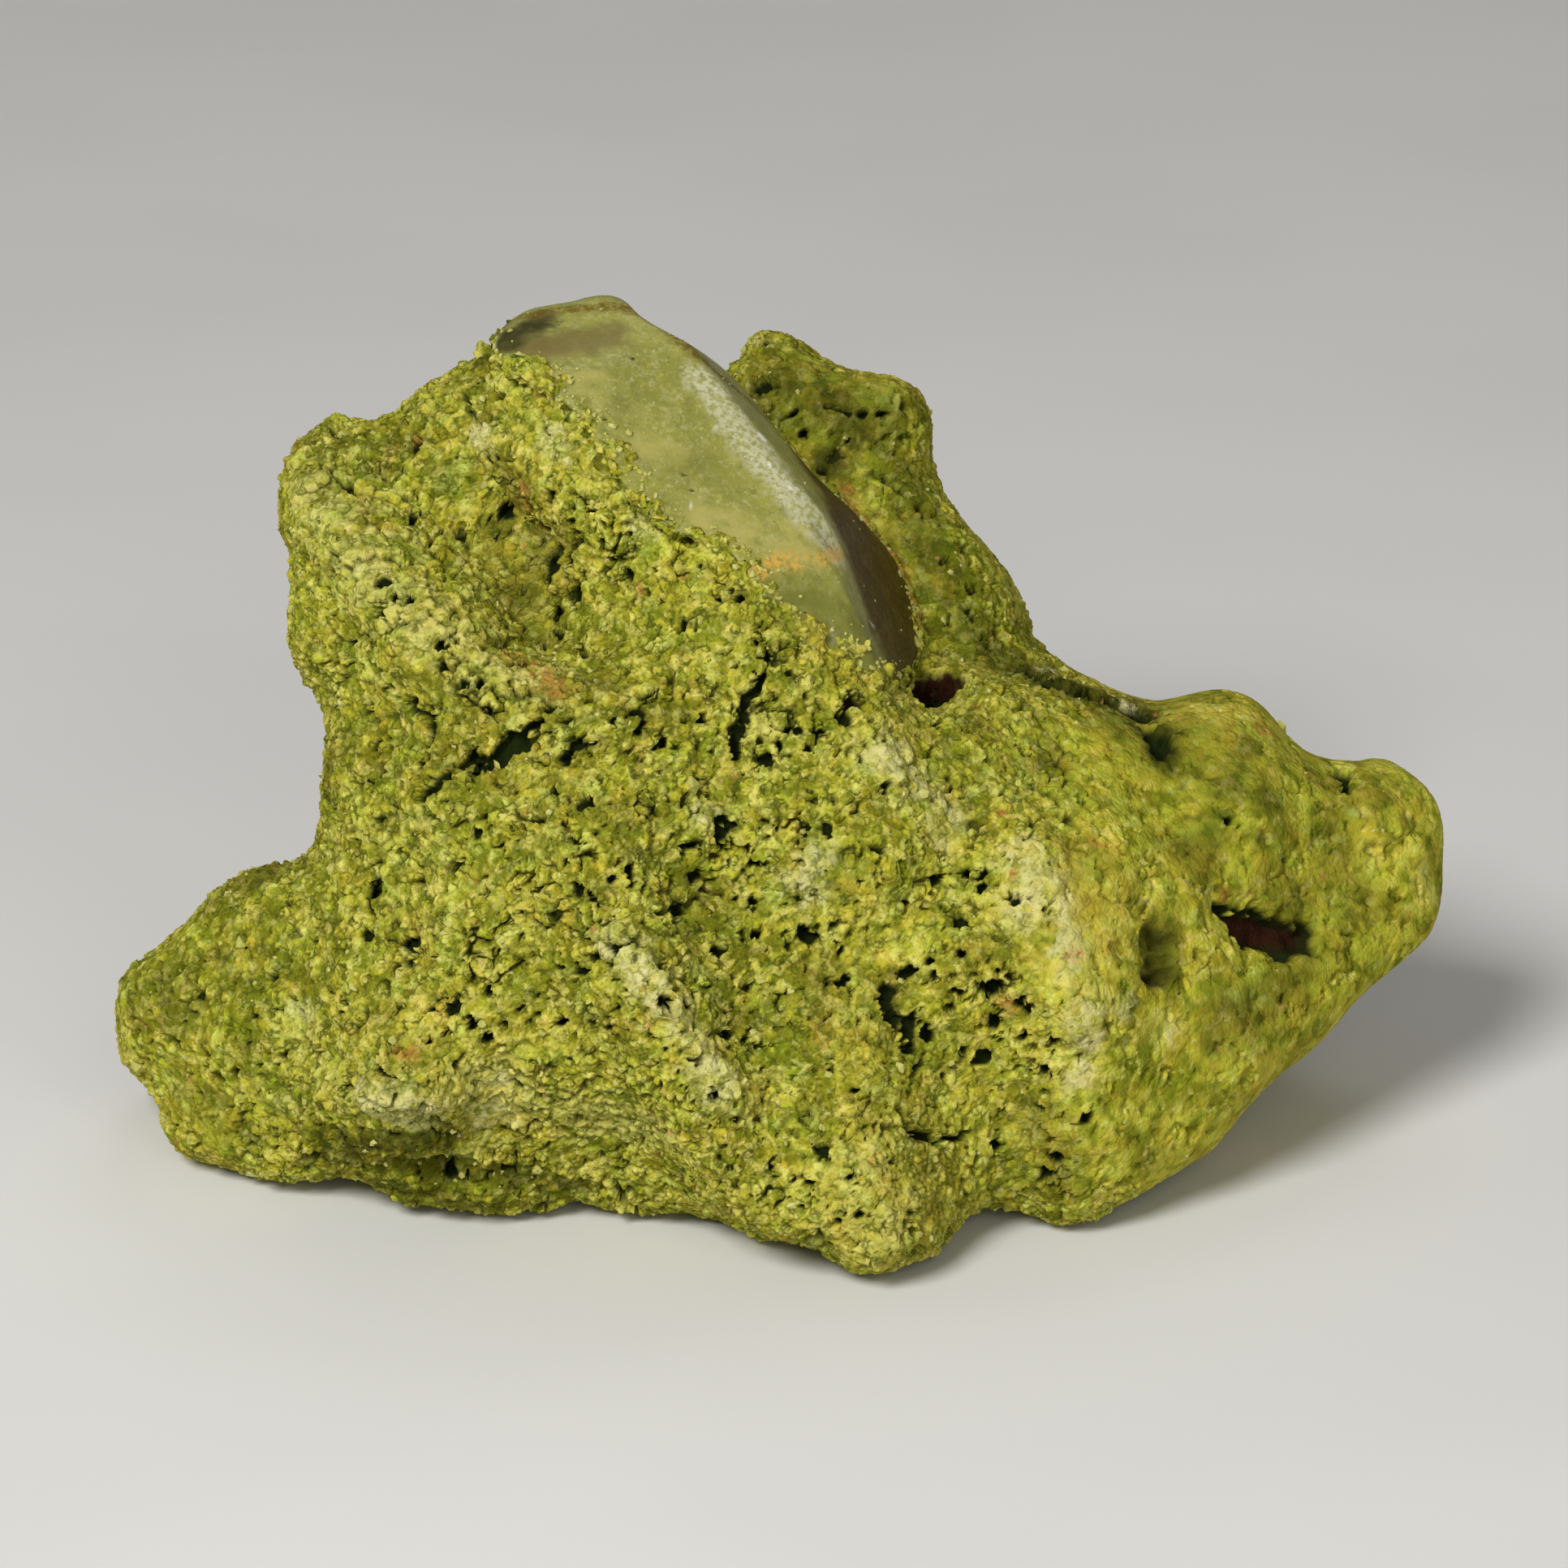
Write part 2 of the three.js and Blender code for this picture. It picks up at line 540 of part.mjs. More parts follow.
// Space in front of a rim, between the lines of sight through it, which lays the opal bare
function spaceBefore(rim) {
  const far = rim.map((place) => {
    const narrowing = (SIGHT_DISTANCE - BARE_DEPTH) / SIGHT_DISTANCE;
    return fromSight(new THREE.Vector3(place.x * narrowing, place.y * narrowing, BARE_DEPTH));
  });
  const near = rim.map((place) => {
    const narrowing = 1 / seenFrom(place);
    return fromSight(new THREE.Vector3(place.x * narrowing, place.y * narrowing, place.z));
  });
  const cap = THREE.ShapeUtils.triangulateShape(rim.map((place) => new THREE.Vector2(place.x, place.y)), []);
  const count = rim.length;
  const triangles = [];
  for (const [a, b, c] of cap) {
    triangles.push(a, c, b, a + count, b + count, c + count);
  }
  for (let i = 0; i < count; i += 1) {
    const next = (i + 1) % count;
    triangles.push(i, i + count, next, next, i + count, next + count);
  }
  return { corners: [...near, ...far], triangles };
}

function makeRock(opal) {
  const skin = skinOf(rockField, ROOM, FACET);
  relax(rockField, skin, FACET, EVENING_ROUNDS);
  for (const corner of skin.corners) {
    corner.z = corner.z < FLATTEST ? 0 : corner.z;
  }
  const whole = solidOf(skin.corners, trianglesOf(skin));
  const pocket = solidOf(swollen(opal.corners, opal.triangles, CONTACT_GAP), opal.triangles);
  const bare = spaceBefore(opalRim);
  const pieces = whole.subtract(pocket).subtract(solidOf(bare.corners, bare.triangles)).decompose();
  return pieces.reduce((largest, piece) => (piece.volume() > largest.volume() ? piece : largest));
}

const opal = makeOpal();

const nontroniteMass = new THREE.Mesh(
  geometryOf(makeRock(opal)),
  new THREE.MeshStandardMaterial({ color: 0x9a9a38, roughness: 0.95, metalness: 0 }),
);
nontroniteMass.name = 'nontronite_mass';

const opalLens = new THREE.Mesh(
  geometryOf(solidOf(opal.corners, opal.triangles)),
  new THREE.MeshStandardMaterial({ color: 0x9c9e68, roughness: 0.35, metalness: 0 }),
);
opalLens.name = 'opal_lens';

const specimen = new THREE.Group();
specimen.name = 'nontronite_specimen';
specimen.add(nontroniteMass, opalLens);

export default specimen;
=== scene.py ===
"""Nontronite specimen with a lens of opal on its shoulder: the looks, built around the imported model."""
import itertools
import json
import math
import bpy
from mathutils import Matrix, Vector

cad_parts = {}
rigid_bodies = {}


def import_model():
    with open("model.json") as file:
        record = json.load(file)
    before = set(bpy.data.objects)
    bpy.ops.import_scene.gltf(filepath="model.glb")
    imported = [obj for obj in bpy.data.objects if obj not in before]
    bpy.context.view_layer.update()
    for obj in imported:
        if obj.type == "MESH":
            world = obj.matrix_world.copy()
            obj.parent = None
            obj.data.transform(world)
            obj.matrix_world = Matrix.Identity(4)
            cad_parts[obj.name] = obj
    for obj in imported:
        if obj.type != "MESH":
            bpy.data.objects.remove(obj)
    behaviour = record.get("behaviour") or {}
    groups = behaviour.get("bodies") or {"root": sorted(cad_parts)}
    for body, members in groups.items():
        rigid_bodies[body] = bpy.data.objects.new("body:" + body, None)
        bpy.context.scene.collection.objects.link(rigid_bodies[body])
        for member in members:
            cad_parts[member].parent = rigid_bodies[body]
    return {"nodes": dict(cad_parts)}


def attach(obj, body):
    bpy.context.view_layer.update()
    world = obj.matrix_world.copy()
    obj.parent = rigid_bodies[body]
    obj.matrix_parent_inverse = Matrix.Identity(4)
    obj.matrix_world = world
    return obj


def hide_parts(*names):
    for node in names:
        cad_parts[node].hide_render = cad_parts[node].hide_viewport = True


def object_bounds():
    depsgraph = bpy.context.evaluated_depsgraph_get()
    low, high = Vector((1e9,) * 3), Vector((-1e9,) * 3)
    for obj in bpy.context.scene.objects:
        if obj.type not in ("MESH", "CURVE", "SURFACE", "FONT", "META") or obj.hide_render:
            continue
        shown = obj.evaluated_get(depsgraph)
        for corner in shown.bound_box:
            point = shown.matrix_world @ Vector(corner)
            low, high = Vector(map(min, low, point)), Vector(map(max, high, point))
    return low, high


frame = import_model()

from concurrent.futures import ThreadPoolExecutor

import bmesh
import bpy
import numpy as np
from bpy.props import FloatProperty, FloatVectorProperty, IntProperty, PointerProperty
from mathutils import Vector
from mathutils.bvhtree import BVHTree
from mathutils.kdtree import KDTree

bl_info = {
    "name": "Nontronite Specimen",
    "version": (1, 0, 0),
    "blender": (4, 5, 0),
    "location": "3D View > Sidebar > Specimen",
    "description": "Dresses the nontronite specimen: crumbled clay, loose crumbs, opal lens and stage",
    "category": "Add Mesh",
}

CAD_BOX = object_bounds()
MM = 0.001
# Corners closer than this are one corner
MERGED_WITHIN = 0.001 * MM
# How many points are worked out at a time, to spare memory
PART_LENGTH = 20000

# Where the photograph was taken from; its picture plane stands at the sight's middle, square to the sight
SIGHT_MIDDLE = Vector((0.2, -5.45, 20.9)) * MM
SIGHT_ELEVATION = math.radians(20)
SIGHT_DISTANCE = 420 * MM
SIGHT_TOWARD = Vector((0, -math.cos(SIGHT_ELEVATION), math.sin(SIGHT_ELEVATION)))
SIGHT_UP = Vector((0, math.sin(SIGHT_ELEVATION), math.cos(SIGHT_ELEVATION)))
SIGHT_ACROSS = Vector((1, 0, 0))
EYE = SIGHT_MIDDLE + SIGHT_TOWARD * SIGHT_DISTANCE
PHOTO_SIDE = 1932
PHOTO_PIXEL = 70 * MM / 1647
SENSOR_WIDTH = 36

# Below, a place in the photograph is a row of the pixels that it runs through, each as across and then down,
# and its width in pixels

# Pits of the clay, by their width
PITS_SEEN = {
    36: (1225, 1225),
    26: (668, 699),
    24: (515, 545, 383, 1425),
    22: (626, 783, 940, 470, 1052, 866),
    20: (716, 985, 998, 1152, 1229, 1415, 1300, 1430, 410, 880, 1224, 1262),
    18: (704, 726, 430, 603, 657, 1004, 777, 1076, 1281, 1320, 707, 1101, 456, 1095, 467, 1421, 448, 875),
    17: (861, 1045, 566, 1314, 252, 1302),
    16: (
        490, 690, 680, 976, 863, 973, 894, 1045, 935, 1144, 1184, 1223, 1053, 1345, 1290, 1450, 771, 1422,
        734, 1114, 685, 1199, 408, 1387, 640, 1340, 1147, 1274, 395, 645, 600, 875,
    ),
    15: (481, 999, 1235, 1197, 1020, 1207, 1298, 1285, 775, 1085, 728, 1266, 689, 1268),
    14: (
        385, 555, 757, 891, 701, 830, 585, 1028, 430, 1022, 863, 1081, 1093, 973, 1187, 1076, 1208, 1096,
        895, 1163, 1149, 1185, 1125, 1197, 1115, 1371, 1338, 1377, 1281, 1373, 878, 1348, 825, 1450,
        773, 1321, 796, 1399, 498, 1184, 417, 1246, 435, 1264, 529, 1249, 580, 1260, 290, 1326, 218, 1290,
        867, 967, 1014, 581, 1140, 1304, 427, 600, 535, 880, 810, 770, 470, 760, 540, 820, 480, 850,
    ),
    13: (
        749, 753, 686, 765, 546, 686, 494, 706, 505, 735, 617, 641, 660, 660, 512, 632, 796, 624,
        630, 543, 724, 860, 1037, 1174, 1061, 1090, 1262, 1280, 905, 1376, 865, 1085, 430, 1129,
        484, 1248, 292, 1205, 308, 1250, 531, 1281, 720, 1100, 695, 1065, 787, 874, 1236, 981, 870, 885,
        960, 920, 1010, 897, 1070, 890, 995, 1460, 1035, 1508, 1110, 1505, 981, 510, 990, 534, 1106, 604,
        1135, 625, 1166, 804, 598, 795, 575, 842,
    ),
    12: (
        720, 630, 752, 650, 833, 672, 613, 490, 575, 498, 600, 560, 1184, 1174, 905, 735, 928, 790,
        878, 735, 845, 765, 872, 810, 1060, 1495, 1084, 657, 522, 695, 715, 795, 495, 595, 520, 570,
        570, 650, 440, 705, 560, 745, 620, 852, 1583, 1232,
    ),
    11: (855, 700),
    10: (590, 722, 650, 802, 1515, 1012, 1583, 1061),
}

# Cracks and long pits
CRACKS_SEEN = (
    ((502, 871, 522, 886, 517, 922, 514, 934), 20),
    ((514, 978, 530, 965, 548, 948, 565, 942, 599, 940, 614, 930, 632, 917, 655, 897), 18),
    ((688, 935, 711, 919), 14), ((945, 833, 922, 858, 914, 902, 909, 930), 13),
    ((836, 1113, 846, 1127, 857, 1118), 8), ((846, 1127, 850, 1146), 8),
    ((1088, 1214, 1097, 1238, 1106, 1260), 22), ((1125, 1258, 1124, 1292), 20),
    ((1140, 1304, 1122, 1346), 9), ((1134, 1402, 1165, 1403, 1197, 1397), 11), ((791, 880, 790, 902), 11),
    ((785, 1350, 800, 1352), 10), ((430, 595, 428, 612), 12), ((1022, 499, 1060, 508, 1102, 510), 10),
    ((1504, 1120, 1532, 1137), 20), ((1540, 1144, 1580, 1156), 56), ((1580, 1154, 1606, 1152), 48),
    ((1639, 1140, 1663, 1157, 1666, 1190, 1657, 1207), 7),
    ((1268, 828, 1305, 842, 1340, 854, 1372, 868, 1402, 884, 1422, 902, 1430, 922), 34),
    ((1640, 954, 1664, 954), 16), ((1656, 950, 1657, 972), 15), ((1115, 850, 1145, 862, 1175, 850), 44),
)

# Broad swellings and hollows, with the height of each
FORMS_SEEN = (
    ((600, 620, 650, 690, 665, 780), 160, -1.1 * MM), ((560, 560, 600, 600), 110, -0.4 * MM),
    ((385, 600, 440, 700, 490, 800), 120, 0.6 * MM), ((760, 640, 800, 720), 120, 0.4 * MM),
    ((750, 1120, 795, 1200, 850, 1285, 900, 1350), 84, 0.7 * MM),
    ((880, 1150, 930, 1260, 975, 1370), 150, -0.7 * MM), ((830, 1060, 850, 1120), 100, -0.6 * MM),
    ((1280, 1040, 1305, 1150, 1330, 1260), 110, 0.6 * MM),
    ((1040, 870, 1105, 950, 1150, 1000), 90, 0.4 * MM),
    ((420, 1425, 520, 1432, 620, 1452, 720, 1466), 56, -0.35 * MM),
    ((400, 1350, 480, 1360, 560, 1350), 90, 0.5 * MM), ((1050, 1450, 1090, 1520), 130, 0.4 * MM),
    ((1500, 1120, 1560, 1145, 1610, 1150), 90, -0.5 * MM), ((1422, 1160, 1424, 1196), 66, -1.1 * MM),
    ((1690, 1010, 1740, 1050), 120, 0.4 * MM), ((480, 900, 620, 960), 130, -0.5 * MM),
)

# Chalky white and rusty patches, with a share where it isn't full
CHALK_SEEN = (
    ((752, 1160, 792, 1205, 824, 1250, 858, 1290, 880, 1330), 66), ((455, 1352, 520, 1366), 70),
    ((484, 1379, 540, 1372), 40), ((372, 1250), 46), ((604, 1373), 60), ((628, 1335), 44),
    ((1090, 935), 80), ((1000, 1100), 60), ((986, 1091, 1010, 1060), 50), ((1251, 1065, 1262, 1120), 60),
    ((1339, 1250, 1335, 1330), 44), ((1322, 1327), 60), ((1387, 1245), 40), ((1440, 1275), 34),
    ((787, 650), 44), ((680, 540), 50), ((590, 530), 50),
    ((385, 600, 440, 680, 520, 760, 640, 830), 120, 0.3), ((1280, 821, 1300, 826), 22),
    ((1386, 865, 1407, 882), 14), ((936, 420, 950, 424), 20), ((1120, 960, 1170, 1010), 70, 0.8),
    ((1300, 1100, 1310, 1180), 50), ((870, 1010), 40),
)
RUST_SEEN = (
    ((483, 651), 22), ((698, 986), 16), ((796, 724), 18), ((840, 711), 18), ((849, 833), 18),
    ((232, 1330), 24), ((503, 1292), 44), ((924, 1226), 22), ((1243, 1078), 24), ((1352, 1040), 30),
    ((1245, 1238), 40), ((1735, 1134), 30), ((1510, 1105), 36), ((637, 606, 637, 624), 34),
    ((693, 650), 20), ((1200, 870), 26), ((1235, 1000), 30), ((640, 1340), 20), ((1420, 1205), 18),
    ((515, 545), 30), ((1320, 1180), 34), ((640, 800, 690, 850), 60), ((1550, 890), 60),
    ((1130, 850, 1160, 850), 40), ((1040, 610, 1090, 680, 1130, 760), 46),
)

# Darker, lighter and greener parts and dark hollows of the clay, with a share where it isn't full. The
# darker rows are mostly painted shade, under ledges, in crevices and hollows and behind the opal, with some
# darker clay; the lighter rows are painted light on crests, tops and ridges
SHADOW_SEEN = (
    ((960, 470, 1120, 540, 1150, 640, 1190, 720, 1225, 800), 190, 0.95),
    ((1400, 900, 1640, 1000, 1690, 1080), 240, 0.7), ((1484, 862), 90, 0.7),
    ((1570, 1086, 1612, 1150, 1584, 1216, 1500, 1272), 140, 0.75),
    ((600, 900, 720, 860, 820, 900), 120, 0.25), ((470, 780, 560, 860), 110, 0.25),
    ((190, 1230, 330, 1190), 200, 0.3), ((380, 1430, 560, 1442, 720, 1466), 70, 0.9),
    ((400, 1408, 480, 1414, 550, 1402), 84, 1.2), ((440, 1450, 500, 1480), 60, 1.1),
    ((600, 440, 625, 400), 84, 1.2), ((620, 620, 660, 760), 120, 0.45),
    ((840, 1060, 860, 1110, 940, 1280), 90, 0.25), ((480, 540, 560, 580), 110, 0.3),
    ((430, 900, 600, 950), 120, 0.3), ((1100, 1220, 1130, 1330), 100, 0.3),
    ((1430, 1158, 1432, 1200), 106, 1.3),
    ((1268, 826, 1305, 840, 1340, 852, 1372, 866, 1402, 882, 1422, 900, 1430, 924), 140, 1.3),
    ((1610, 1150, 1650, 1170), 60, 0.6), ((1474, 1050), 170, 0.8), ((1294, 1458), 130, 0.7),
    ((230, 1342, 290, 1390), 130, 0.55), ((1206, 890), 110, 0.55), ((1294, 936), 110, 0.55),
    ((400, 966), 120, 0.8), ((730, 838), 110, 0.8), ((340, 1068, 290, 1092), 120, 0.75),
    ((1288, 1390), 120, 0.5), ((634, 722), 110, 0.85), ((1016, 1206), 110, 0.5), ((478, 1000), 100, 0.4),
    ((688, 986, 820, 1010), 90, 0.45), ((1040, 1074), 100, 0.5), ((1022, 570), 110, 1.25),
    ((994, 1532), 90, 0.6), ((374, 546), 100, 0.6), ((494, 1470, 600, 1484), 80, 1.0),
)
# Painted light: lighter where the clay's crests, tops and ridges face the light
PAINTED_LIGHT_SEEN = (
    ((395, 610, 440, 690, 510, 780, 620, 830), 130, 1.3), ((370, 1290, 430, 1350, 500, 1350), 120, 0.8),
    ((1060, 1450, 1090, 1520), 150, 1.2), ((1260, 1040, 1300, 1150, 1340, 1260), 120, 0.7),
    ((1690, 1050, 1745, 1085), 130, 1.9), ((1040, 900, 1110, 960), 110, 0.6),
    ((780, 1180, 840, 1270), 60, 0.5), ((650, 500, 720, 560, 790, 650), 100, 0.5),
    ((850, 700, 900, 760), 110, 0.4), ((590, 1330, 730, 1385, 810, 1395), 160, 1.8),
    ((584, 1410), 90, 0.8), ((930, 866, 980, 926), 110, 1.2),
    ((1128, 540, 1190, 690, 1234, 768), 100, 1.3), ((958, 866), 70, 1.5), ((750, 1162), 80, 1.0),
    ((1434, 1250, 1402, 1300), 100, 0.8), ((1600, 980), 130, 1.9), ((876, 1172), 100, 0.9),
    ((674, 906), 100, 0.9),
)
GREEN_SEEN = (
    ((200, 1220, 330, 1150, 300, 1290), 220, 0.8), ((880, 1120, 950, 1250, 1020, 1380), 160, 0.7),
    ((480, 1010, 620, 1130, 720, 1240), 150, 0.5), ((450, 540, 540, 600), 120, 0.6),
    ((1000, 500, 1160, 640, 1220, 780), 160, 0.8), ((500, 1440, 700, 1470), 80, 0.8),
    ((1290, 836, 1380, 868, 1425, 905), 100), ((1400, 1300, 1480, 1350), 160, 0.4),
    ((850, 900, 900, 1020), 110, 0.4),
)
# Dark hollows: red-brown inside, darkened with painted shade
HOLLOWS_SEEN = (
    ((1536, 1142, 1575, 1156, 1604, 1152), 48), ((1120, 842, 1168, 836), 40), ((645, 630), 22),
    ((1052, 866), 26), ((1420, 1200), 22), ((640, 1340), 16), ((698, 986), 14),
)

# Parts of the opal, by the name of the value that they set
OPAL_SEEN = {
    "rim": (((606, 420, 632, 392, 700, 380, 766, 378, 815, 402, 865, 441, 908, 480, 950, 520), 32),),
    "seam": (
        ((932, 704, 952, 694, 982, 690), 36), ((982, 690, 1014, 687), 24, 0.6),
        ((1014, 687, 1036, 684), 30, 0.9),
    ),
    "grey": (((660, 432, 700, 422, 750, 410), 76),),
    "dull": (((945, 735, 1000, 750, 1050, 780, 1080, 820), 100), ((840, 572, 870, 575), 60, 0.4),),
    "veil": (((868, 470, 920, 540, 975, 605, 1008, 650, 1030, 684), 70),),
    "low": (
        ((650, 462, 740, 464), 30, 0.8), ((795, 545, 830, 560), 56, 0.9),
        ((870, 640, 940, 660, 990, 670), 80), ((720, 480, 740, 500), 40, 0.6),
    ),
    # Dark left end of the opal: darker brownish opal with painted shade
    "stain": (((608, 438, 636, 410, 668, 394), 60), ((755, 505, 770, 500), 36, 0.3),),
    "speck": (((746, 516), 9), ((729, 534), 9), ((842, 585), 8), ((853, 604), 7), ((780, 440), 8),),
    # Painted glints along the ridge
    "glint": (
        ((882, 479), 7), ((936, 536, 942, 542), 9), ((948, 573), 8), ((883, 525), 6), ((851, 622), 8),
        ((1031, 786), 8), ((1075, 769), 8), ((1124, 830), 8), ((973, 602), 9),
    ),
}
# Ridge between the opal's face and its brown side from top to bottom, and the middle of its break's rings
OPAL_RIDGE_SEEN = (950, 512, 985, 570, 1014, 615, 1038, 672, 1058, 730, 1084, 800, 1108, 858)
OPAL_RINGS_SEEN = (690, 470)


def smoothstep(low, high, value):
    """Share from 0 at low to 1 at high, with soft ends; low may be above high."""
    share = np.clip((value - low) / (high - low), 0, 1)
    return share * share * (3 - 2 * share)


def hashed(cells, salt):
    """Random number from 0 to 1 for each whole-numbered cell, always the same for a cell and a salt."""
    x, y, z = cells.astype(np.int64).astype(np.uint32).T
    mixed = x * np.uint32(73856093) ^ y * np.uint32(19349663) ^ z * np.uint32(83492791)
    mixed = mixed ^ np.uint32(salt * 374761393 % 2**32)
    for shift in (15, 13, 16):
        mixed = (mixed ^ (mixed >> np.uint32(shift))) * np.uint32(2246822519)
    return mixed / 2**32


def cloud(points, size, salt):
    """Smooth random hills from -1 to 1, about size apart."""
    scaled = points / size
    whole = np.floor(scaled)
    part = scaled - whole
    blend = part * part * (3 - 2 * part)
    total = np.zeros(len(points))
    for corner in itertools.product((0, 1), repeat=3):
        weight = np.prod(np.where(corner, blend, 1 - blend), axis=1)
        total += weight * hashed(whole + corner, salt)
    return total * 2 - 1


def cells(points, size, salt):
    """For cells about size across: distances to the two nearest centres, and the nearest cell's number."""
    scaled = points / size
    whole = np.floor(scaled)
    nearest = np.full((2, len(points)), np.inf)
    number = np.zeros(len(points))
    for step in itertools.product((-1, 0, 1), repeat=3):
        cell = whole + step
        centre = cell + np.stack([hashed(cell, salt + axis) for axis in range(3)], axis=1)
        distance = np.linalg.norm(centre - scaled, axis=1)
        number = np.where(distance < nearest[0], hashed(cell, salt + 3), number)
        nearest = np.sort(np.vstack([nearest, distance]), axis=0)[:2]
    return (*(nearest * size), number)


def in_parts(work, points):
    """What work gives for the points, worked out for parts of them side by side."""
    with ThreadPoolExecutor() as pool:
        results = list(pool.map(work, np.array_split(points, len(points) // PART_LENGTH + 1)))
    return [np.concatenate(columns) for columns in zip(*results)]


def clouds(points, size, salt):
    """Smooth random hills for each of the three directions."""
    return np.stack([cloud(points, size, salt + axis) for axis in range(3)], axis=1)


def warped(points, reach, size, salt):
    """Points moved about by smooth random hills, so that what is built on them loses its evenness."""
    return points + reach * clouds(points, size, salt)


def unit(vectors):
    """Vectors made one long."""
    return vectors / np.linalg.norm(vectors, axis=1)[:, None]


def sighted(points):
    """Places in the picture plane as across and up, in millimetres from the sight's middle."""
    from_eye = points - np.array(EYE)
    depth = -from_eye @ np.array(SIGHT_TOWARD)
    plane = SIGHT_DISTANCE / depth
    return from_eye @ np.array(SIGHT_ACROSS) * plane / MM, from_eye @ np.array(SIGHT_UP) * plane / MM


def place_seen(tree, pixel):
    """Point of a surface that the photograph shows at a pixel, or None where the line of sight misses it."""
    across = (pixel[0] - PHOTO_SIDE / 2) * PHOTO_PIXEL
    up = (PHOTO_SIDE / 2 - pixel[1]) * PHOTO_PIXEL
    aim = SIGHT_MIDDLE + SIGHT_ACROSS * across + SIGHT_UP * up
    return tree.ray_cast(EYE, (aim - EYE).normalized())[0]


def pixels_of(row):
    """Pixels of a row that gives each one's place across and then down."""
    return list(zip(row[::2], row[1::2]))


def spots_seen(tree, row, width):
    """Spots on a surface along a row of pixels, close enough to merge: a list of (point, radius)."""
    pixels = pixels_of(row)
    steps = []
    for start, end in zip(pixels, pixels[1:]):
        count = max(math.ceil(math.dist(start, end) / (width / 3)), 1)
        steps += [tuple(a + (b - a) * i / count for a, b in zip(start, end)) for i in range(count)]
    steps.append(pixels[-1])
    found = [place_seen(tree, pixel) for pixel in steps]
    return [(point, width * PHOTO_PIXEL / 2) for point in found if point is not None]


# How much further than a spot's radius its uneven outline can reach
WIDEST = 1.5


def near_spots(finder, count, spots, edge, wobble=None):
    """Share from 0 to 1 of how far each vertex lies inside the nearest spot; edge is the share of the radius
    over which it fades, and wobble makes the outlines uneven."""
    share = np.zeros(count)
    for point, radius in spots:
        for _, index, distance in finder.find_range(point, radius * WIDEST):
            reach = radius * (1 + (wobble[index] if wobble is not None else 0))
            inside = min(max((reach - distance) / (reach * edge), 0), 1)
            share[index] = max(share[index], inside)
    return share * share * (3 - 2 * share)


def share_seen(surface, places, edge, wobble=None, wider=1):
    """Share from 0 to 1 of how far each vertex lies inside some places, each with its row of pixels, its
    width and, where it isn't full, its own share."""
    tree, finder, count = surface
    shares = [np.zeros(count)]
    for row, width, *most in places:
        share = near_spots(finder, count, spots_seen(tree, row, width * wider), edge, wobble)
        shares.append(share * (most[0] if most else 1))
    return np.maximum.reduce(shares)


def packed_mesh(node):
    return frame["nodes"][node].data


def merged_mesh(node, name):
    """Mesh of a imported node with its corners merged."""
    shape = bmesh.new()
    shape.from_mesh(packed_mesh(node))
    bmesh.ops.remove_doubles(shape, verts=shape.verts, dist=MERGED_WITHIN)
    mesh = bpy.data.meshes.new(name)
    shape.to_mesh(mesh)
    shape.free()
    return mesh


def new_piece(name, mesh):
    piece = bpy.data.objects.new(name, mesh)
    bpy.context.scene.collection.objects.link(piece)
    return piece


def shaped(piece, *steps):
    """Applies modifiers in turn, each given as its type and its settings."""
    for kind, settings in steps:
        modifier = piece.modifiers.new(kind.title(), kind)
        for setting, value in settings.items():
            setattr(modifier, setting, value)
    depsgraph = bpy.context.evaluated_depsgraph_get()
    mesh = bpy.data.meshes.new_from_object(piece.evaluated_get(depsgraph))
    piece.modifiers.clear()
    exchange(piece, mesh)


def exchange(piece, mesh):
    """Gives a piece another mesh and deletes the one that it had."""
    before = piece.data
    piece.data = mesh
    bpy.data.meshes.remove(before)


def read(items, field, width, kind=np.float32):
    """A field of all vertices, triangles or the like of a mesh, with a row for each."""
    numbers = np.empty(len(items) * width, kind)
    items.foreach_get(field, numbers)
    return numbers.reshape(-1, width)


def points_of(mesh):
    return read(mesh.vertices, "co", 3).astype(float)


def normals_of(mesh):
    return read(mesh.vertices, "normal", 3).astype(float)


def triangles_of(mesh):
    mesh.calc_loop_triangles()
    return read(mesh.loop_triangles, "vertices", 3, np.int32)


def values_of(mesh, name):
    """Numbers or vectors that a mesh carries at its vertices."""
    layer = mesh.attributes[name]
    if layer.data_type == "FLOAT":
        return read(layer.data, "value", 1)[:, 0].astype(float)
    return read(layer.data, "vector", 3).astype(float)


def set_values(mesh, name, values):
    """Lays down numbers or vectors at a mesh's vertices."""
    values = np.asarray(values, np.float32)
    kind, field = ("FLOAT", "value") if values.ndim == 1 else ("FLOAT_VECTOR", "vector")
    layer = mesh.attributes.get(name) or mesh.attributes.new(name, kind, "POINT")
    layer.data.foreach_set(field, values.ravel())


def tree_of(mesh):
    return BVHTree.FromPolygons(points_of(mesh).tolist(), triangles_of(mesh).tolist())


def rows_of(points):
    """The rows of an array one after the other as lists, a part of them at a time to spare memory."""
    for start in range(0, len(points), PART_LENGTH):
        yield from points[start:start + PART_LENGTH].tolist()


def finder_of(points):
    finder = KDTree(len(points))
    for index, point in enumerate(rows_of(points)):
        finder.insert(point, index)
    finder.balance()
    return finder


def move_vertices(mesh, points):
    """Moves a mesh's vertices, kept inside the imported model's box."""
    inside = np.clip(points, np.array(CAD_BOX[0]), np.array(CAD_BOX[1]))
    mesh.vertices.foreach_set("co", inside.astype(np.float32).ravel())
    mesh.update()


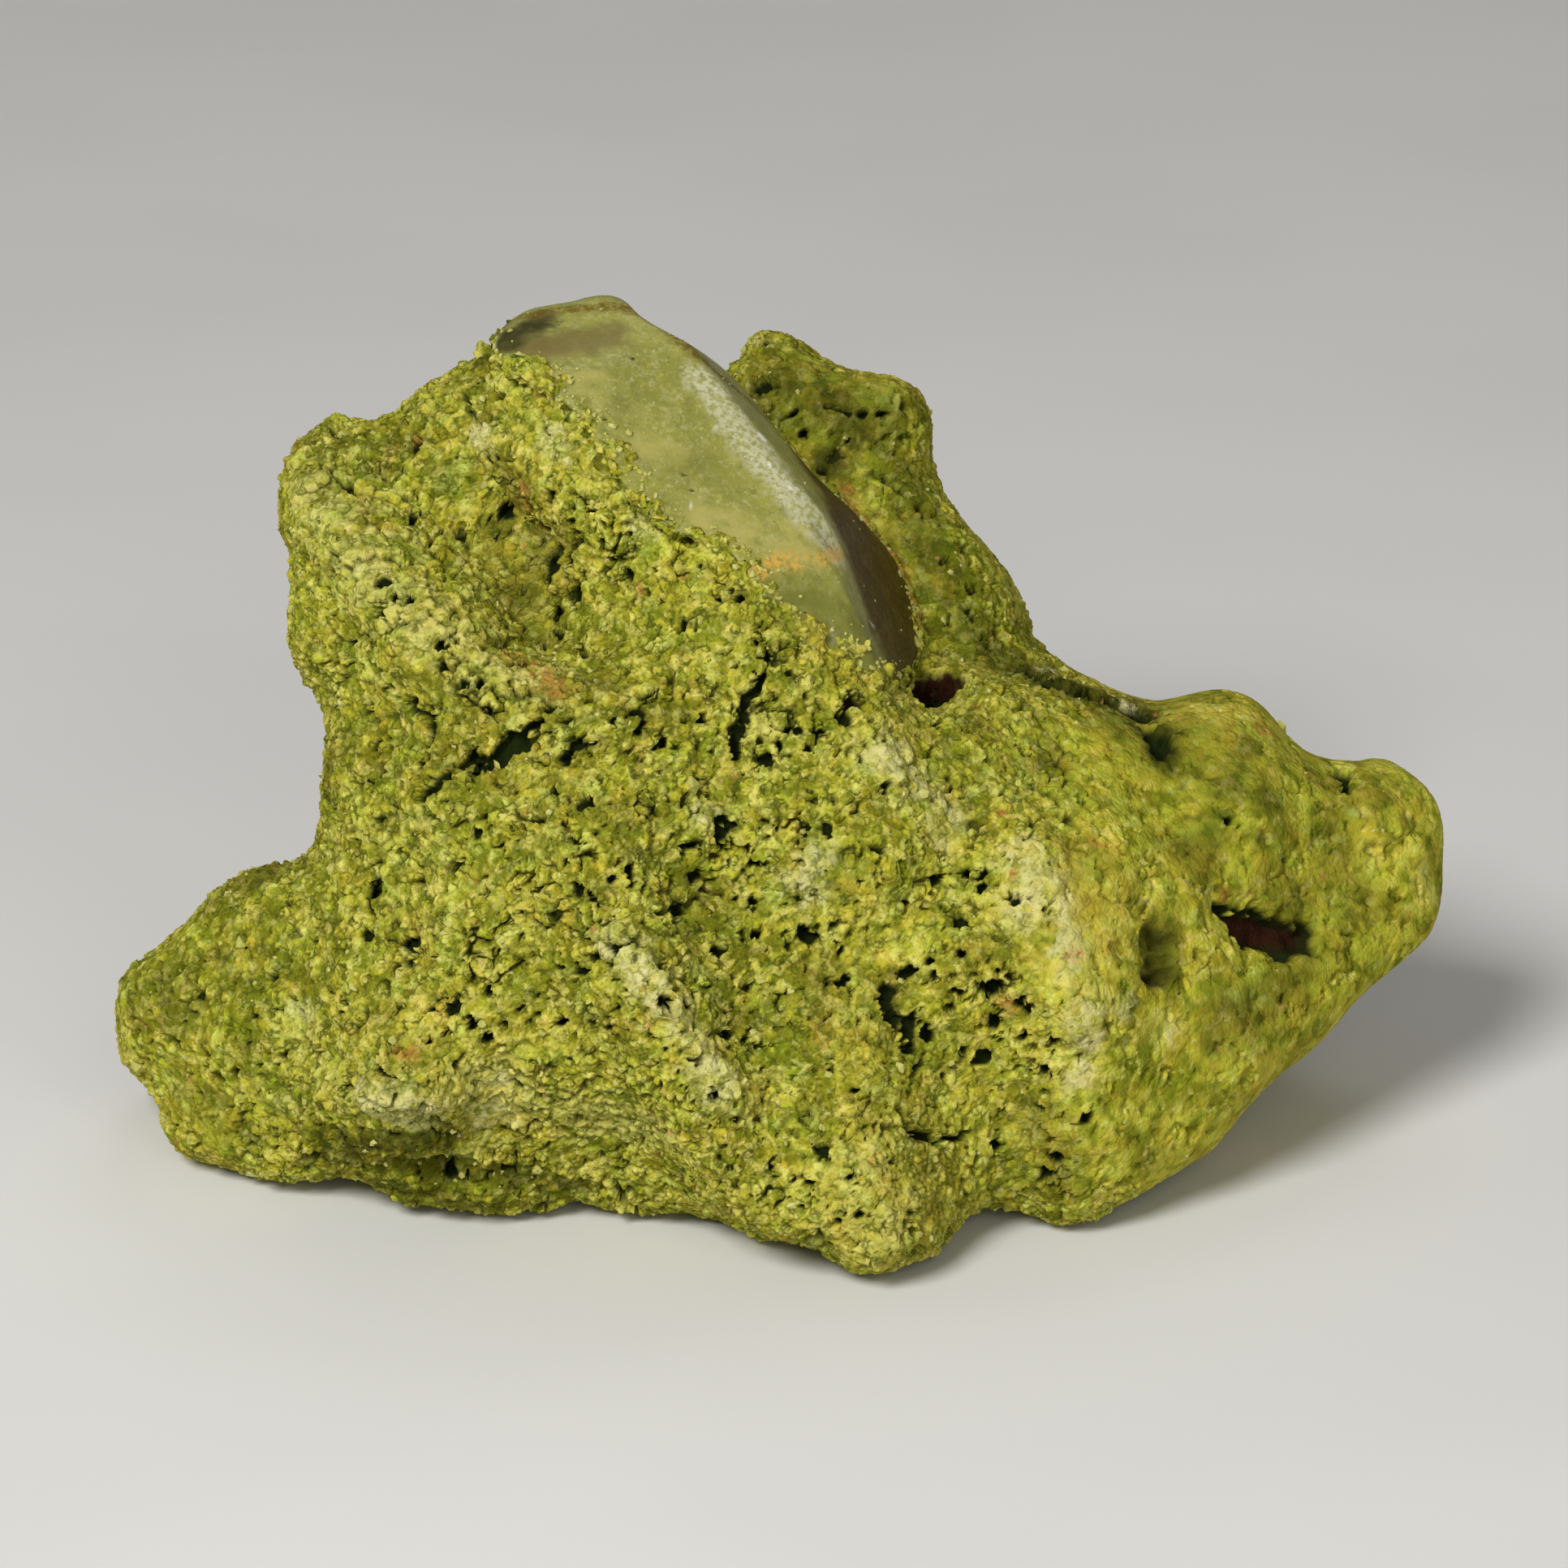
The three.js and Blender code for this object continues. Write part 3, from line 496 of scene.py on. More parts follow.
def mesh_of(name, points, triangles):
    """Mesh from arrays, smooth shaded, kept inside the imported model's box."""
    mesh = bpy.data.meshes.new(name)
    mesh.vertices.add(len(points))
    mesh.loops.add(triangles.size)
    mesh.polygons.add(len(triangles))
    mesh.loops.foreach_set("vertex_index", triangles.ravel().astype(np.int32))
    mesh.polygons.foreach_set("loop_start", np.arange(0, triangles.size, 3, dtype=np.int32))
    mesh.polygons.foreach_set("loop_total", np.full(len(triangles), 3, np.int32))
    move_vertices(mesh, points)
    mesh.validate()
    mesh.shade_smooth()
    return mesh


def largest_shell(mesh):
    """The largest connected part of a mesh, in triangles; the remesh can leave tiny shells beside it."""
    triangles = triangles_of(mesh)
    label = np.arange(len(mesh.vertices))
    settled = False
    while not settled:
        lowest = label[triangles].min(1)
        spread = label.copy()
        for side in range(3):
            np.minimum.at(spread, triangles[:, side], lowest)
        spread = spread[spread]
        settled = (spread == label).all()
        label = spread
    names, counts = np.unique(label, return_counts=True)
    kept = triangles[label[triangles[:, 0]] == names[counts.argmax()]]
    used, corners = np.unique(kept, return_inverse=True)
    return mesh_of(mesh.name, points_of(mesh)[used], corners.reshape(-1, 3))


def distance_to(tree, points, reach):
    """Distance of each point to a surface, or reach where it is further."""
    distance = np.full(len(points), reach)
    for index, point in enumerate(rows_of(points)):
        found = tree.find_nearest(point, reach)[3]
        if found is not None:
            distance[index] = found
    return distance


# Values that the clay's vertices carry
CARRIED = ("pit", "crease", "calm", "chalk", "rust", "hollow", "shadow", "green", "tint", "grit")


class Shader:
    """A material of Blender's nodes, made one after the other, ending in one Principled BSDF."""

    def __init__(self, name):
        self.material = bpy.data.materials.new(name)
        self.material.use_nodes = True
        self.tree = self.material.node_tree
        self.surface = self.tree.nodes["Principled BSDF"]
        self.place = self.node("ShaderNodeTexCoord").outputs["Object"]

    def node(self, kind, inputs=None, **settings):
        made = self.tree.nodes.new(kind)
        for setting, value in settings.items():
            setattr(made, setting, value)
        for socket, value in (inputs or {}).items():
            self.feed(made.inputs[socket], value)
        return made

    def feed(self, socket, value):
        """Links a socket to another, or sets its value."""
        if isinstance(value, bpy.types.NodeSocket):
            self.tree.links.new(value, socket)
        else:
            socket.default_value = value

    def value(self, name):
        """A value that the mesh carries at its vertices."""
        return self.node("ShaderNodeAttribute", attribute_name=name).outputs["Fac"]

    def hills(self, kinds):
        """Random hills from 0 to 1, each kind as size in millimetres, detail, roughness and distortion."""
        made = {}
        for name, (size, detail, roughness, distortion) in kinds.items():
            made[name] = self.node("ShaderNodeTexNoise", {
                "Vector": self.place, "Scale": 1 / (size * MM), "Detail": detail,
                "Roughness": roughness, "Distortion": distortion,
            }).outputs["Fac"]
        return made

    def grains(self, size):
        """Ragged grains about size across: how far the gap beside them is, and their own random number."""
        wobble = self.node("ShaderNodeTexNoise", {"Vector": self.place, "Scale": 2 / size, "Detail": 2.0})
        reach = (0.5 * size,) * 3
        moved = {0: wobble.outputs["Color"], 1: reach, 2: self.place}
        bent = self.node("ShaderNodeVectorMath", moved, operation="MULTIPLY_ADD").outputs[0]
        inputs = {"Vector": bent, "Scale": 1 / size}
        gap = self.node("ShaderNodeTexVoronoi", inputs, feature="DISTANCE_TO_EDGE").outputs["Distance"]
        number = self.node("ShaderNodeTexVoronoi", inputs, feature="F1").outputs["Color"]
        return gap, self.node("ShaderNodeSeparateColor", {"Color": number}).outputs["Red"]

    def ramp(self, value, low, high, start=0.0, end=1.0):
        """Value taken from between low and high to between start and end."""
        made = self.node("ShaderNodeMapRange", {
            "Value": value, "From Min": low, "From Max": high, "To Min": start, "To Max": end,
        }, interpolation_type="SMOOTHSTEP")
        return made.outputs["Result"]

    def math(self, operation, *values):
        made = self.node("ShaderNodeMath", operation=operation)
        for socket, value in zip(made.inputs, values):
            self.feed(socket, value)
        return made.outputs[0]

    def times(self, first, second):
        return self.math("MULTIPLY", first, second)

    def line(self, value, slope, start):
        """Value taken times a slope, and then more by a start."""
        return self.math("MULTIPLY_ADD", value, slope, start)

    def mix(self, factor, first, second, blend="MIX"):
        """Colour between two, by a factor."""
        made = self.node("ShaderNodeMix", data_type="RGBA", blend_type=blend)
        self.feed(made.inputs["Factor"], factor)
        colours = [socket for socket in made.inputs if socket.type == "RGBA"]
        for socket, colour in zip(colours, (first, second)):
            self.feed(socket, colour if isinstance(colour, bpy.types.NodeSocket) else (*colour, 1.0))
        return next(socket for socket in made.outputs if socket.type == "RGBA")

    def layered(self, colour, *layers):
        """Colour with others laid over it in turn, each given as its share and its colour."""
        for share, over in layers:
            colour = self.mix(share, colour, over)
        return colour

    def bump(self, height, distance, strength, under=None):
        inputs = {"Height": height, "Distance": distance, "Strength": strength}
        if under is not None:
            inputs["Normal"] = under
        return self.node("ShaderNodeBump", inputs).outputs["Normal"]

    def finish(self, **sockets):
        for name, value in sockets.items():
            self.feed(self.surface.inputs[name.replace("_", " ")], value)
        return self.material


# Settings of four kinds, each from its name, what it is for, and its default
def length_setting(name, description, default):
    return FloatProperty(name=name, description=description, default=default, unit="LENGTH")


def power_setting(name, description, default):
    return FloatProperty(name=name, description=description, default=default, unit="POWER")


def count_setting(name, description, default):
    return IntProperty(name=name, description=description, default=default, min=1)


def colour_setting(name, description, *default):
    return FloatVectorProperty(name=name, description=description, default=default, subtype="COLOR", size=3)


class ClaySettings(bpy.types.PropertyGroup):
    """Sizes and colours of the crumbled clay."""
    facet: length_setting("Facet", "Size of the fine surface's facets before it is thinned", 0.00013)
    clump_height: length_setting("Clump Height", "Height of the clumps of lobes above their clefts", 0.0002)
    lobe_size: length_setting("Lobe Size", "Distance between the rounded lobes of the clay", 0.00105)
    lobe_height: length_setting("Lobe Height", "Height of the lobes above their creases", 0.00015)
    knob_size: length_setting("Knob Size", "Distance between the knobs on the lobes", 0.0006)
    knob_height: length_setting("Knob Height", "Height of the knobs above their creases", 0.00013)
    grain_size: length_setting("Grain Size", "Distance between the grains on the knobs", 0.00036)
    grain_height: length_setting("Grain Height", "Height of the grains above their creases", 0.00007)
    crumbs: count_setting("Crumbs", "Number of crumbs grown together with the clay", 12000)
    crumb_size: length_setting("Crumb Size", "Middle size of a grown crumb, middle to skin", 0.0002)
    patches: count_setting("Patches", "Number of meshes that the surface is shared out over", 5)
    pit_depth: length_setting("Pit Depth", "Depth of the deepest pits and cracks", 0.0011)
    triangles: count_setting("Triangles", "Most triangles that the thinned surface may keep", 830000)
    light_colour: colour_setting("Light Clay", "Clay where it is palest", 0.43, 0.392, 0.03)
    green_colour: colour_setting("Green Clay", "Clay where it is greenest", 0.225, 0.228, 0.011)
    tan_colour: colour_setting("Tan Clay", "Clay where it is weathered tan", 0.42, 0.335, 0.04)
    # Pits and hollows are coloured partly with painted shade in the recesses
    pit_and_shade_colour: colour_setting("Pit", "Black-green bottom of the pits", 0.012, 0.018, 0.003)
    hollow_and_shade_colour: colour_setting("Hollow", "Red-brown inside of the larger hollows", 0.028, 0.009, 0.004)
    chalk_colour: colour_setting("Chalk", "Chalky white bloom", 0.6, 0.56, 0.25)
    rust_colour: colour_setting("Rust", "Rust-coloured stain", 0.42, 0.17, 0.04)


class CrumbSettings(bpy.types.PropertyGroup):
    """Number and size of the loose crumbs on the clay."""
    number: count_setting("Number", "Number of crumbs strewn, before those over pits are left out", 4500)
    size: length_setting("Size", "Middle size of a crumb, from its middle to its skin", 0.00013)


class OpalSettings(bpy.types.PropertyGroup):
    """Sizes and colours of the opal lens."""
    facet: length_setting("Facet", "Size of the opal's fine facets", 0.00016)
    ripple: length_setting("Ripple", "Height of the shell-shaped ripples of its break", 0.00004)
    pale_colour: colour_setting("Pale Opal", "Milky greenish-grey body", 0.335, 0.328, 0.065)
    # Brown of the steep side, partly painted shade
    brown_and_shade_colour: colour_setting("Brown Opal", "Brown steep side", 0.105, 0.058, 0.0015)


class StageSettings(bpy.types.PropertyGroup):
    """Floor and lights."""
    floor_colour: colour_setting("Floor", "Pale floor", 0.78, 0.77, 0.74)
    key_power: power_setting("Key Power", "Power of the main light at the upper left", 4.5)
    fill_power: power_setting("Fill Power", "Power of the soft light from the right", 1.5)
    back_power: power_setting("Back Power", "Power of the light from behind", 0.4)
    sky: FloatProperty(
        name="Sky", description="Strength of the even light from all round", default=0.16, min=0.0,
    )


# A crumb: one corner on top, two rings of five and one corner sunk in the clay
RING = 5
RING_HEIGHT = 0.45
# Its flat map is a star in a square one wide: how far out the upper ring, the lower ring and the tips lie
STAR = (0.19, 0.34, 0.48)


def crumb_form():
    """Corners of a crumb about its middle, its triangles, and each triangle's places in the square map."""
    corners = [(0.0, 0.0, 1.0)]
    for ring, height in enumerate((RING_HEIGHT, -RING_HEIGHT)):
        reach = math.sqrt(1 - height * height)
        for step in range(RING):
            angle = math.tau * (step + ring / 2) / RING
            corners.append((reach * math.cos(angle), reach * math.sin(angle), height))
    corners.append((0.0, 0.0, -1.0))
    bottom = len(corners) - 1
    triangles = []
    for step in range(RING):
        upper, upper_next = 1 + step, 1 + (step + 1) % RING
        lower, lower_next = 1 + RING + step, 1 + RING + (step + 1) % RING
        triangles += [(0, upper, upper_next), (upper, lower, upper_next), (upper_next, lower, lower_next)]
        triangles += [(lower, bottom, lower_next)]
    places = []
    for triangle in triangles:
        spots = []
        for corner in triangle:
            x, y, z = corners[corner]
            if corner == 0:
                spots.append((0.5, 0.5))
            elif corner == bottom:
                turn = np.array(corners[triangle[0]]) + np.array(corners[triangle[2]])
                turn = turn[:2] / np.linalg.norm(turn[:2])
                spots.append(tuple(0.5 + STAR[2] * turn))
            else:
                reach = STAR[0] if z > 0 else STAR[1]
                spots.append((0.5 + reach * x / math.hypot(x, y), 0.5 + reach * y / math.hypot(x, y)))
        places.append(spots)
    return np.array(corners), np.array(triangles), np.array(places)


def scattered(mesh, wanted, random):
    """Random places on a mesh, even over its area: points, normals, triangle corners and their shares."""
    points, normals, triangles = points_of(mesh), normals_of(mesh), triangles_of(mesh)
    a, b, c = (points[triangles[:, side]] for side in range(3))
    areas = np.linalg.norm(np.cross(b - a, c - a), axis=1)
    chosen = random.choice(len(triangles), size=wanted, p=areas / areas.sum())
    first, second = random.random(wanted), random.random(wanted)
    over = first + second > 1
    first[over], second[over] = 1 - first[over], 1 - second[over]
    shares = np.stack([1 - first - second, first, second], axis=1)
    corners = triangles[chosen]
    place = (points[corners] * shares[..., None]).sum(1)
    normal = unit((normals[corners] * shares[..., None]).sum(1))
    return place, normal, corners, shares


def value_at(mesh, name, corners, shares):
    """Value that a mesh carries, at places given by triangle corners and their shares."""
    return (values_of(mesh, name)[corners] * shares).sum(1)


def lumps(points, size, edge, salt):
    """Rounded lumps about size apart, with steep sides edge wide: their height from 0 to 1, each lump's own
    random number from 0 to 1, and how near the gap between two lumps is."""
    first, second, number = cells(points, size, salt)
    side = np.clip((second - first) / edge, 0, 1)
    return 1 - (1 - side) ** 2, number, second - first


# Distance between the clumps of lobes
CLUMP_SIZE = 4.6 * MM


def clay_relief(points, clay):
    """Relief of the crumbled clay at each vertex: its height, how deep it lies in a pit and in a crease, and
    random numbers of its own lump and grain."""
    # Each kind of lump: reach, size and salt of the warp, then the lump's size, edge, height and unevenness
    kinds = (
        (1.1, 4, 10, CLUMP_SIZE, 1.6, clay.clump_height, 1.4),
        (0.3, 1.2, 30, clay.lobe_size, 0.34, clay.lobe_height, 1.3),
        (0.14, 0.6, 50, clay.knob_size, 0.2, clay.knob_height, 1.4),
        (0.06, 0.3, 70, clay.grain_size, 0.13, clay.grain_height, 1.2),
    )
    height = np.zeros(len(points))
    raised = []
    for reach, apart, salt, size, edge, tall, unevenness in kinds:
        bent = warped(points, reach * MM, apart * MM, salt)
        lump, number, gap = lumps(bent, size, edge * MM, salt + 10)
        height += tall * (lump * (1 + unevenness * (number - 0.5)) - 1)
        raised.append((lump, number, gap))
    _, (lobe, lobe_number, lobe_gap), (knob, knob_number, _), (grain, grain_number, _) = raised

    # Most pits stand apart, ragged where grains lean in; a few gaps between lobes are short open cracks
    crease = 1 - (0.5 + 0.5 * lobe) * (0.4 + 0.6 * knob) * (0.6 + 0.4 * grain)
    ragged = (crease - 0.4) * 0.3 * MM
    bent = warped(points, 0.3 * MM, 0.5 * MM, 90)
    near, _, pock = cells(bent, 1.45 * MM, 95)
    reach = (0.08 + 0.4 * pock * pock) * MM + ragged
    hole = smoothstep(reach + 0.06 * MM, reach - 0.1 * MM, near) * (0.55 + 0.45 * pock)
    near, _, pock = cells(warped(points, 0.15 * MM, 0.35 * MM, 110), 0.8 * MM, 115)
    reach = (0.04 + 0.2 * pock) * MM + ragged
    speck = 0.55 * smoothstep(reach + 0.04 * MM, reach - 0.06 * MM, near)
    open_gap = smoothstep(0.36, 0.54, cloud(points, 1.1 * MM, 93) + 0.2 * cloud(points, 7 * MM, 94))
    gap = 0.6 * smoothstep(0.14 * MM, 0.05 * MM, lobe_gap) * open_gap
    pit = np.maximum.reduce([hole, speck, gap])
    return height, pit, crease, 0.4 * lobe_number + 0.6 * knob_number, grain_number


def share_out(piece, count, material):
    """Cuts a piece into patches from left to right, with equal numbers of triangles, shaded as one."""
    whole = piece.data
    points, triangles, normals = points_of(whole), triangles_of(whole), normals_of(whole)
    base, base_normals = values_of(whole, "base"), values_of(whole, "base_normal")
    order = np.argsort(points[triangles][:, :, 0].mean(1), kind="stable")
    carried = {name: values_of(whole, name) for name in CARRIED}
    for number, share in enumerate(np.array_split(order, count), start=1):
        used, corners = np.unique(triangles[share], return_inverse=True)
        mesh = mesh_of(f"clay_{number}", points[used], corners.reshape(-1, 3))
        corners = triangles_of(mesh)
        for name, values in carried.items():
            set_values(mesh, name, values[used])
        layer = mesh.uv_layers.new(name="OFBake")
        layer.uv.foreach_set("vector", flat_map(base[used][corners], base_normals[used][corners]).ravel())
        mesh.normals_split_custom_set_from_vertices(normals[used].tolist())
        mesh.materials.append(material)
        patch = new_piece(mesh.name, mesh)
        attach(patch, "root")
        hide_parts("nontronite_mass")


def flat_map(corners, normals):
    """Flat places for the corners of triangles: each goes to one of six fields by the way that it faces."""
    facing = normals.mean(1)
    axis = np.abs(facing).argmax(1)
    field = 2 * axis + (facing[np.arange(len(facing)), axis] > 0)
    flat = np.empty((len(corners), 3, 2))
    for number in range(6):
        chosen = field == number
        if not chosen.any():
            continue
        seen = np.delete(corners[chosen], number // 2, axis=2)
        low, high = seen.min((0, 1)), seen.max((0, 1))
        column, row = number % 3, number // 3
        flat[chosen] = (np.array([column, row]) + 0.01 + 0.98 * (seen - low) / (high - low)) / (3, 2)
    return flat.astype(np.float32)


def calm_share(points, normals):
    """Where the clay is smoother than on its rough front: the right flank, the front's right half, the wall
    behind the opal, the lower left lobe and the back. Places in the picture plane are in millimetres."""
    across, up = sighted(points)
    facing = normals @ np.array(SIGHT_TOWARD)
    ragged = across + 3 * cloud(points, 4 * MM, 104)
    flank = smoothstep(10, 19, ragged) * smoothstep(-25, -19, up)
    front = 0.3 * smoothstep(-1, 4, ragged)
    wall = 0.6 * smoothstep(-2, 1, across) * smoothstep(8, 11, up)
    lobe = 0.4 * smoothstep(-25, -29, across) * smoothstep(-4, -8, up)
    back = 0.3 * smoothstep(0.1, -0.2, facing)
    return np.maximum.reduce([flank, front, wall, lobe, back])


# Number of places tried for crumbs that creep over the opal, and the least height of a crumb over the floor
CREEPING = 9000
LOWEST_CRUMB = 0.8 * MM


def add_crumbs(mesh, clay):
    """Adds crumbs to a mesh that is then made one surface: on the clay, and creeping over the opal."""
    random = np.random.default_rng(3)
    place, normal, _, _ = scattered(mesh, clay.crumbs, random)
    size = clay.crumb_size * random.lognormal(mean=0, sigma=0.4, size=clay.crumbs)
    size = size * (1 - 0.85 * calm_share(place, normal))
    ground = tree_of(mesh)
    opal_place, opal_normal, _, _ = scattered(packed_mesh("opal_lens"), CREEPING, random)
    reach = 1.2 * MM + 0.8 * MM * cloud(opal_place, 2.2 * MM, 130)
    reach += 0.5 * MM * cloud(opal_place, 0.9 * MM, 131)
    near = distance_to(ground, opal_place, 3 * MM) < reach
    place = np.concatenate([place, opal_place[near]])
    normal = np.concatenate([normal, opal_normal[near]])
    size = np.concatenate([size, 0.3 * MM * random.lognormal(mean=0, sigma=0.3, size=near.sum())])
    inside = place[:, 2] > LOWEST_CRUMB
    place, normal, size = place[inside], normal[inside], size[inside]
    points = crumb_points(place - 0.4 * normal * size[:, None], normal, size, random)
    triangles = crumb_triangles(inside.sum())
    return mesh_of(
        mesh.name,
        np.concatenate([points_of(mesh), points]),
        np.concatenate([triangles_of(mesh), triangles + len(mesh.vertices)]),
    )


# Around the opal the clay has no pits: how far off they begin to fade and end
FADING = 1.2 * MM
ENDED = 0.5 * MM


class SPECIMEN_OT_clay(bpy.types.Operator):
    """Crumbled clay surface with its lumps, pits, cracks and stains, in patches"""
    bl_idname = "specimen.clay"
    bl_label = "Crumbled Clay"

    def execute(self, context):
        clay = context.scene.specimen_clay
        piece = new_piece("clay", merged_mesh("nontronite_mass", "clay"))
        shaped(piece, ("SUBSURF", {"levels": 2, "render_levels": 2}))
        exchange(piece, add_crumbs(piece.data, clay))
        shaped(
            piece,
            ("REMESH", {"mode": "VOXEL", "voxel_size": clay.facet}),
            ("SMOOTH", {"factor": 0.5, "iterations": 3}),
        )
        exchange(piece, largest_shell(piece.data))
        self.crumble(piece, clay)

        dense = len(triangles_of(piece.data))
        shaped(piece, ("DECIMATE", {"ratio": clay.triangles / dense, "use_collapse_triangulate": True}))
        piece.data.shade_smooth()
        share_out(piece, clay.patches, clay_material(clay))
        bpy.data.objects.remove(piece)
        return {"FINISHED"}

    def crumble(self, piece, clay):
        """Raises the lumps, sinks the pits and cracks, and lays down the values that colour the clay."""
        mesh = piece.data
        points = points_of(mesh)
        normals = normals_of(mesh)
        count = len(points)
        set_values(mesh, "base", points)
        set_values(mesh, "base_normal", normals)
        calm = calm_share(points, normals)
        off_floor = smoothstep(0.05 * MM, 0.6 * MM, points[:, 2])

        height, pit, crease, tint, grit = in_parts(lambda part: clay_relief(part, clay), points)
        pit = pit * (1 - 0.7 * calm)
        tree = BVHTree.FromObject(piece, bpy.context.evaluated_depsgraph_get())
        finder = finder_of(warped(points, 0.32 * MM, 0.55 * MM, 100))
        wobble = 0.3 * cloud(points, 0.9 * MM, 103)
        ragged = 0.9 * (crease - 0.4) * (1 - 0.9 * calm) + 0.35 * cloud(points, 0.45 * MM, 105)
        surface = (tree, finder, count)
        pits = [(pixel, width) for width, row in PITS_SEEN.items() for pixel in pixels_of(row)]
        seen = share_seen(surface, (*pits, *CRACKS_SEEN), 0.5, ragged, wider=1.2)
        pit = np.maximum(pit, seen)
        chalk = share_seen(surface, CHALK_SEEN, 0.95, 2 * wobble, wider=1.35)

        distance = distance_to(tree_of(packed_mesh("opal_lens")), points, 2 * FADING)
        pit = pit * (1 - smoothstep(FADING, ENDED, distance) * (seen < 0.1))

        form = np.zeros(count)
        for row, width, tall in FORMS_SEEN:
            form += tall * near_spots(finder, count, spots_seen(tree, row, width), 0.95)
        rise = form + height * (1 - 0.9 * calm) * (1 - 0.2 * chalk) + 0.1 * MM - clay.pit_depth * pit
        lean = 0.22 * clouds(points, 1.2 * MM, 120)
        move_vertices(mesh, points + (normals + lean) * (rise * off_floor)[:, None])

        set_values(mesh, "pit", pit)
        set_values(mesh, "crease", crease * (1 - 0.4 * calm) * (1 - 0.25 * chalk))
        set_values(mesh, "calm", calm)
        set_values(mesh, "chalk", chalk)
        set_values(mesh, "rust", share_seen(surface, RUST_SEEN, 0.9, wobble))
        set_values(mesh, "hollow", share_seen(surface, HOLLOWS_SEEN, 0.6, wobble))
        # Painted shade less painted light, which darkens or lightens the clay's colour
        shadow = share_seen(surface, SHADOW_SEEN, 0.9) - 0.45 * share_seen(surface, PAINTED_LIGHT_SEEN, 0.95)
        set_values(mesh, "shadow", shadow)
        set_values(mesh, "green", share_seen(surface, GREEN_SEEN, 0.95, wobble))
        set_values(mesh, "tint", tint)
        set_values(mesh, "grit", grit)


# Random hills in the clay's colours: size in millimetres, detail, roughness and distortion
CLAY_HILLS = {
    "broad": (9, 3, 0.5, 0), "middle": (2.6, 3, 0.6, 0), "fine": (0.5, 3, 0.65, 0),
    "grain": (0.16, 2, 0.6, 0), "warmth": (1.6, 4, 0.75, 0), "stray": (1.8, 6, 0.8, 0),
    "fleck": (0.9, 3, 0.5, 0), "speckle": (0.8, 3, 0.6, 0.5), "broken": (0.7, 2, 0.5, 0),
}

# Colours of single knobs and grains, painted shade in the creases and gaps between them, and a painted
# highlight on what stands out into the light
CREAM_KNOB = (0.6, 0.545, 0.13)
CREAM_GRAIN = (0.58, 0.52, 0.12)
OLIVE_GRAIN = (0.18, 0.18, 0.01)
GREEN_KNOB = (0.135, 0.16, 0.01)
PAINTED_HIGHLIGHT = (0.5, 0.472, 0.15)
BLACK_SPECKLE = (0.035, 0.05, 0.006)
CREASE_SHADE = (0.12, 0.125, 0.007)
CLEFT_SHADE = (0.06, 0.07, 0.006)
# Most that the lights and darks of the hills and the painted light make of a colour
LIGHTEST = 1.22
# Middle size of the ragged grains that the colours and the bump show
RAGGED_GRAIN = 0.5 * MM


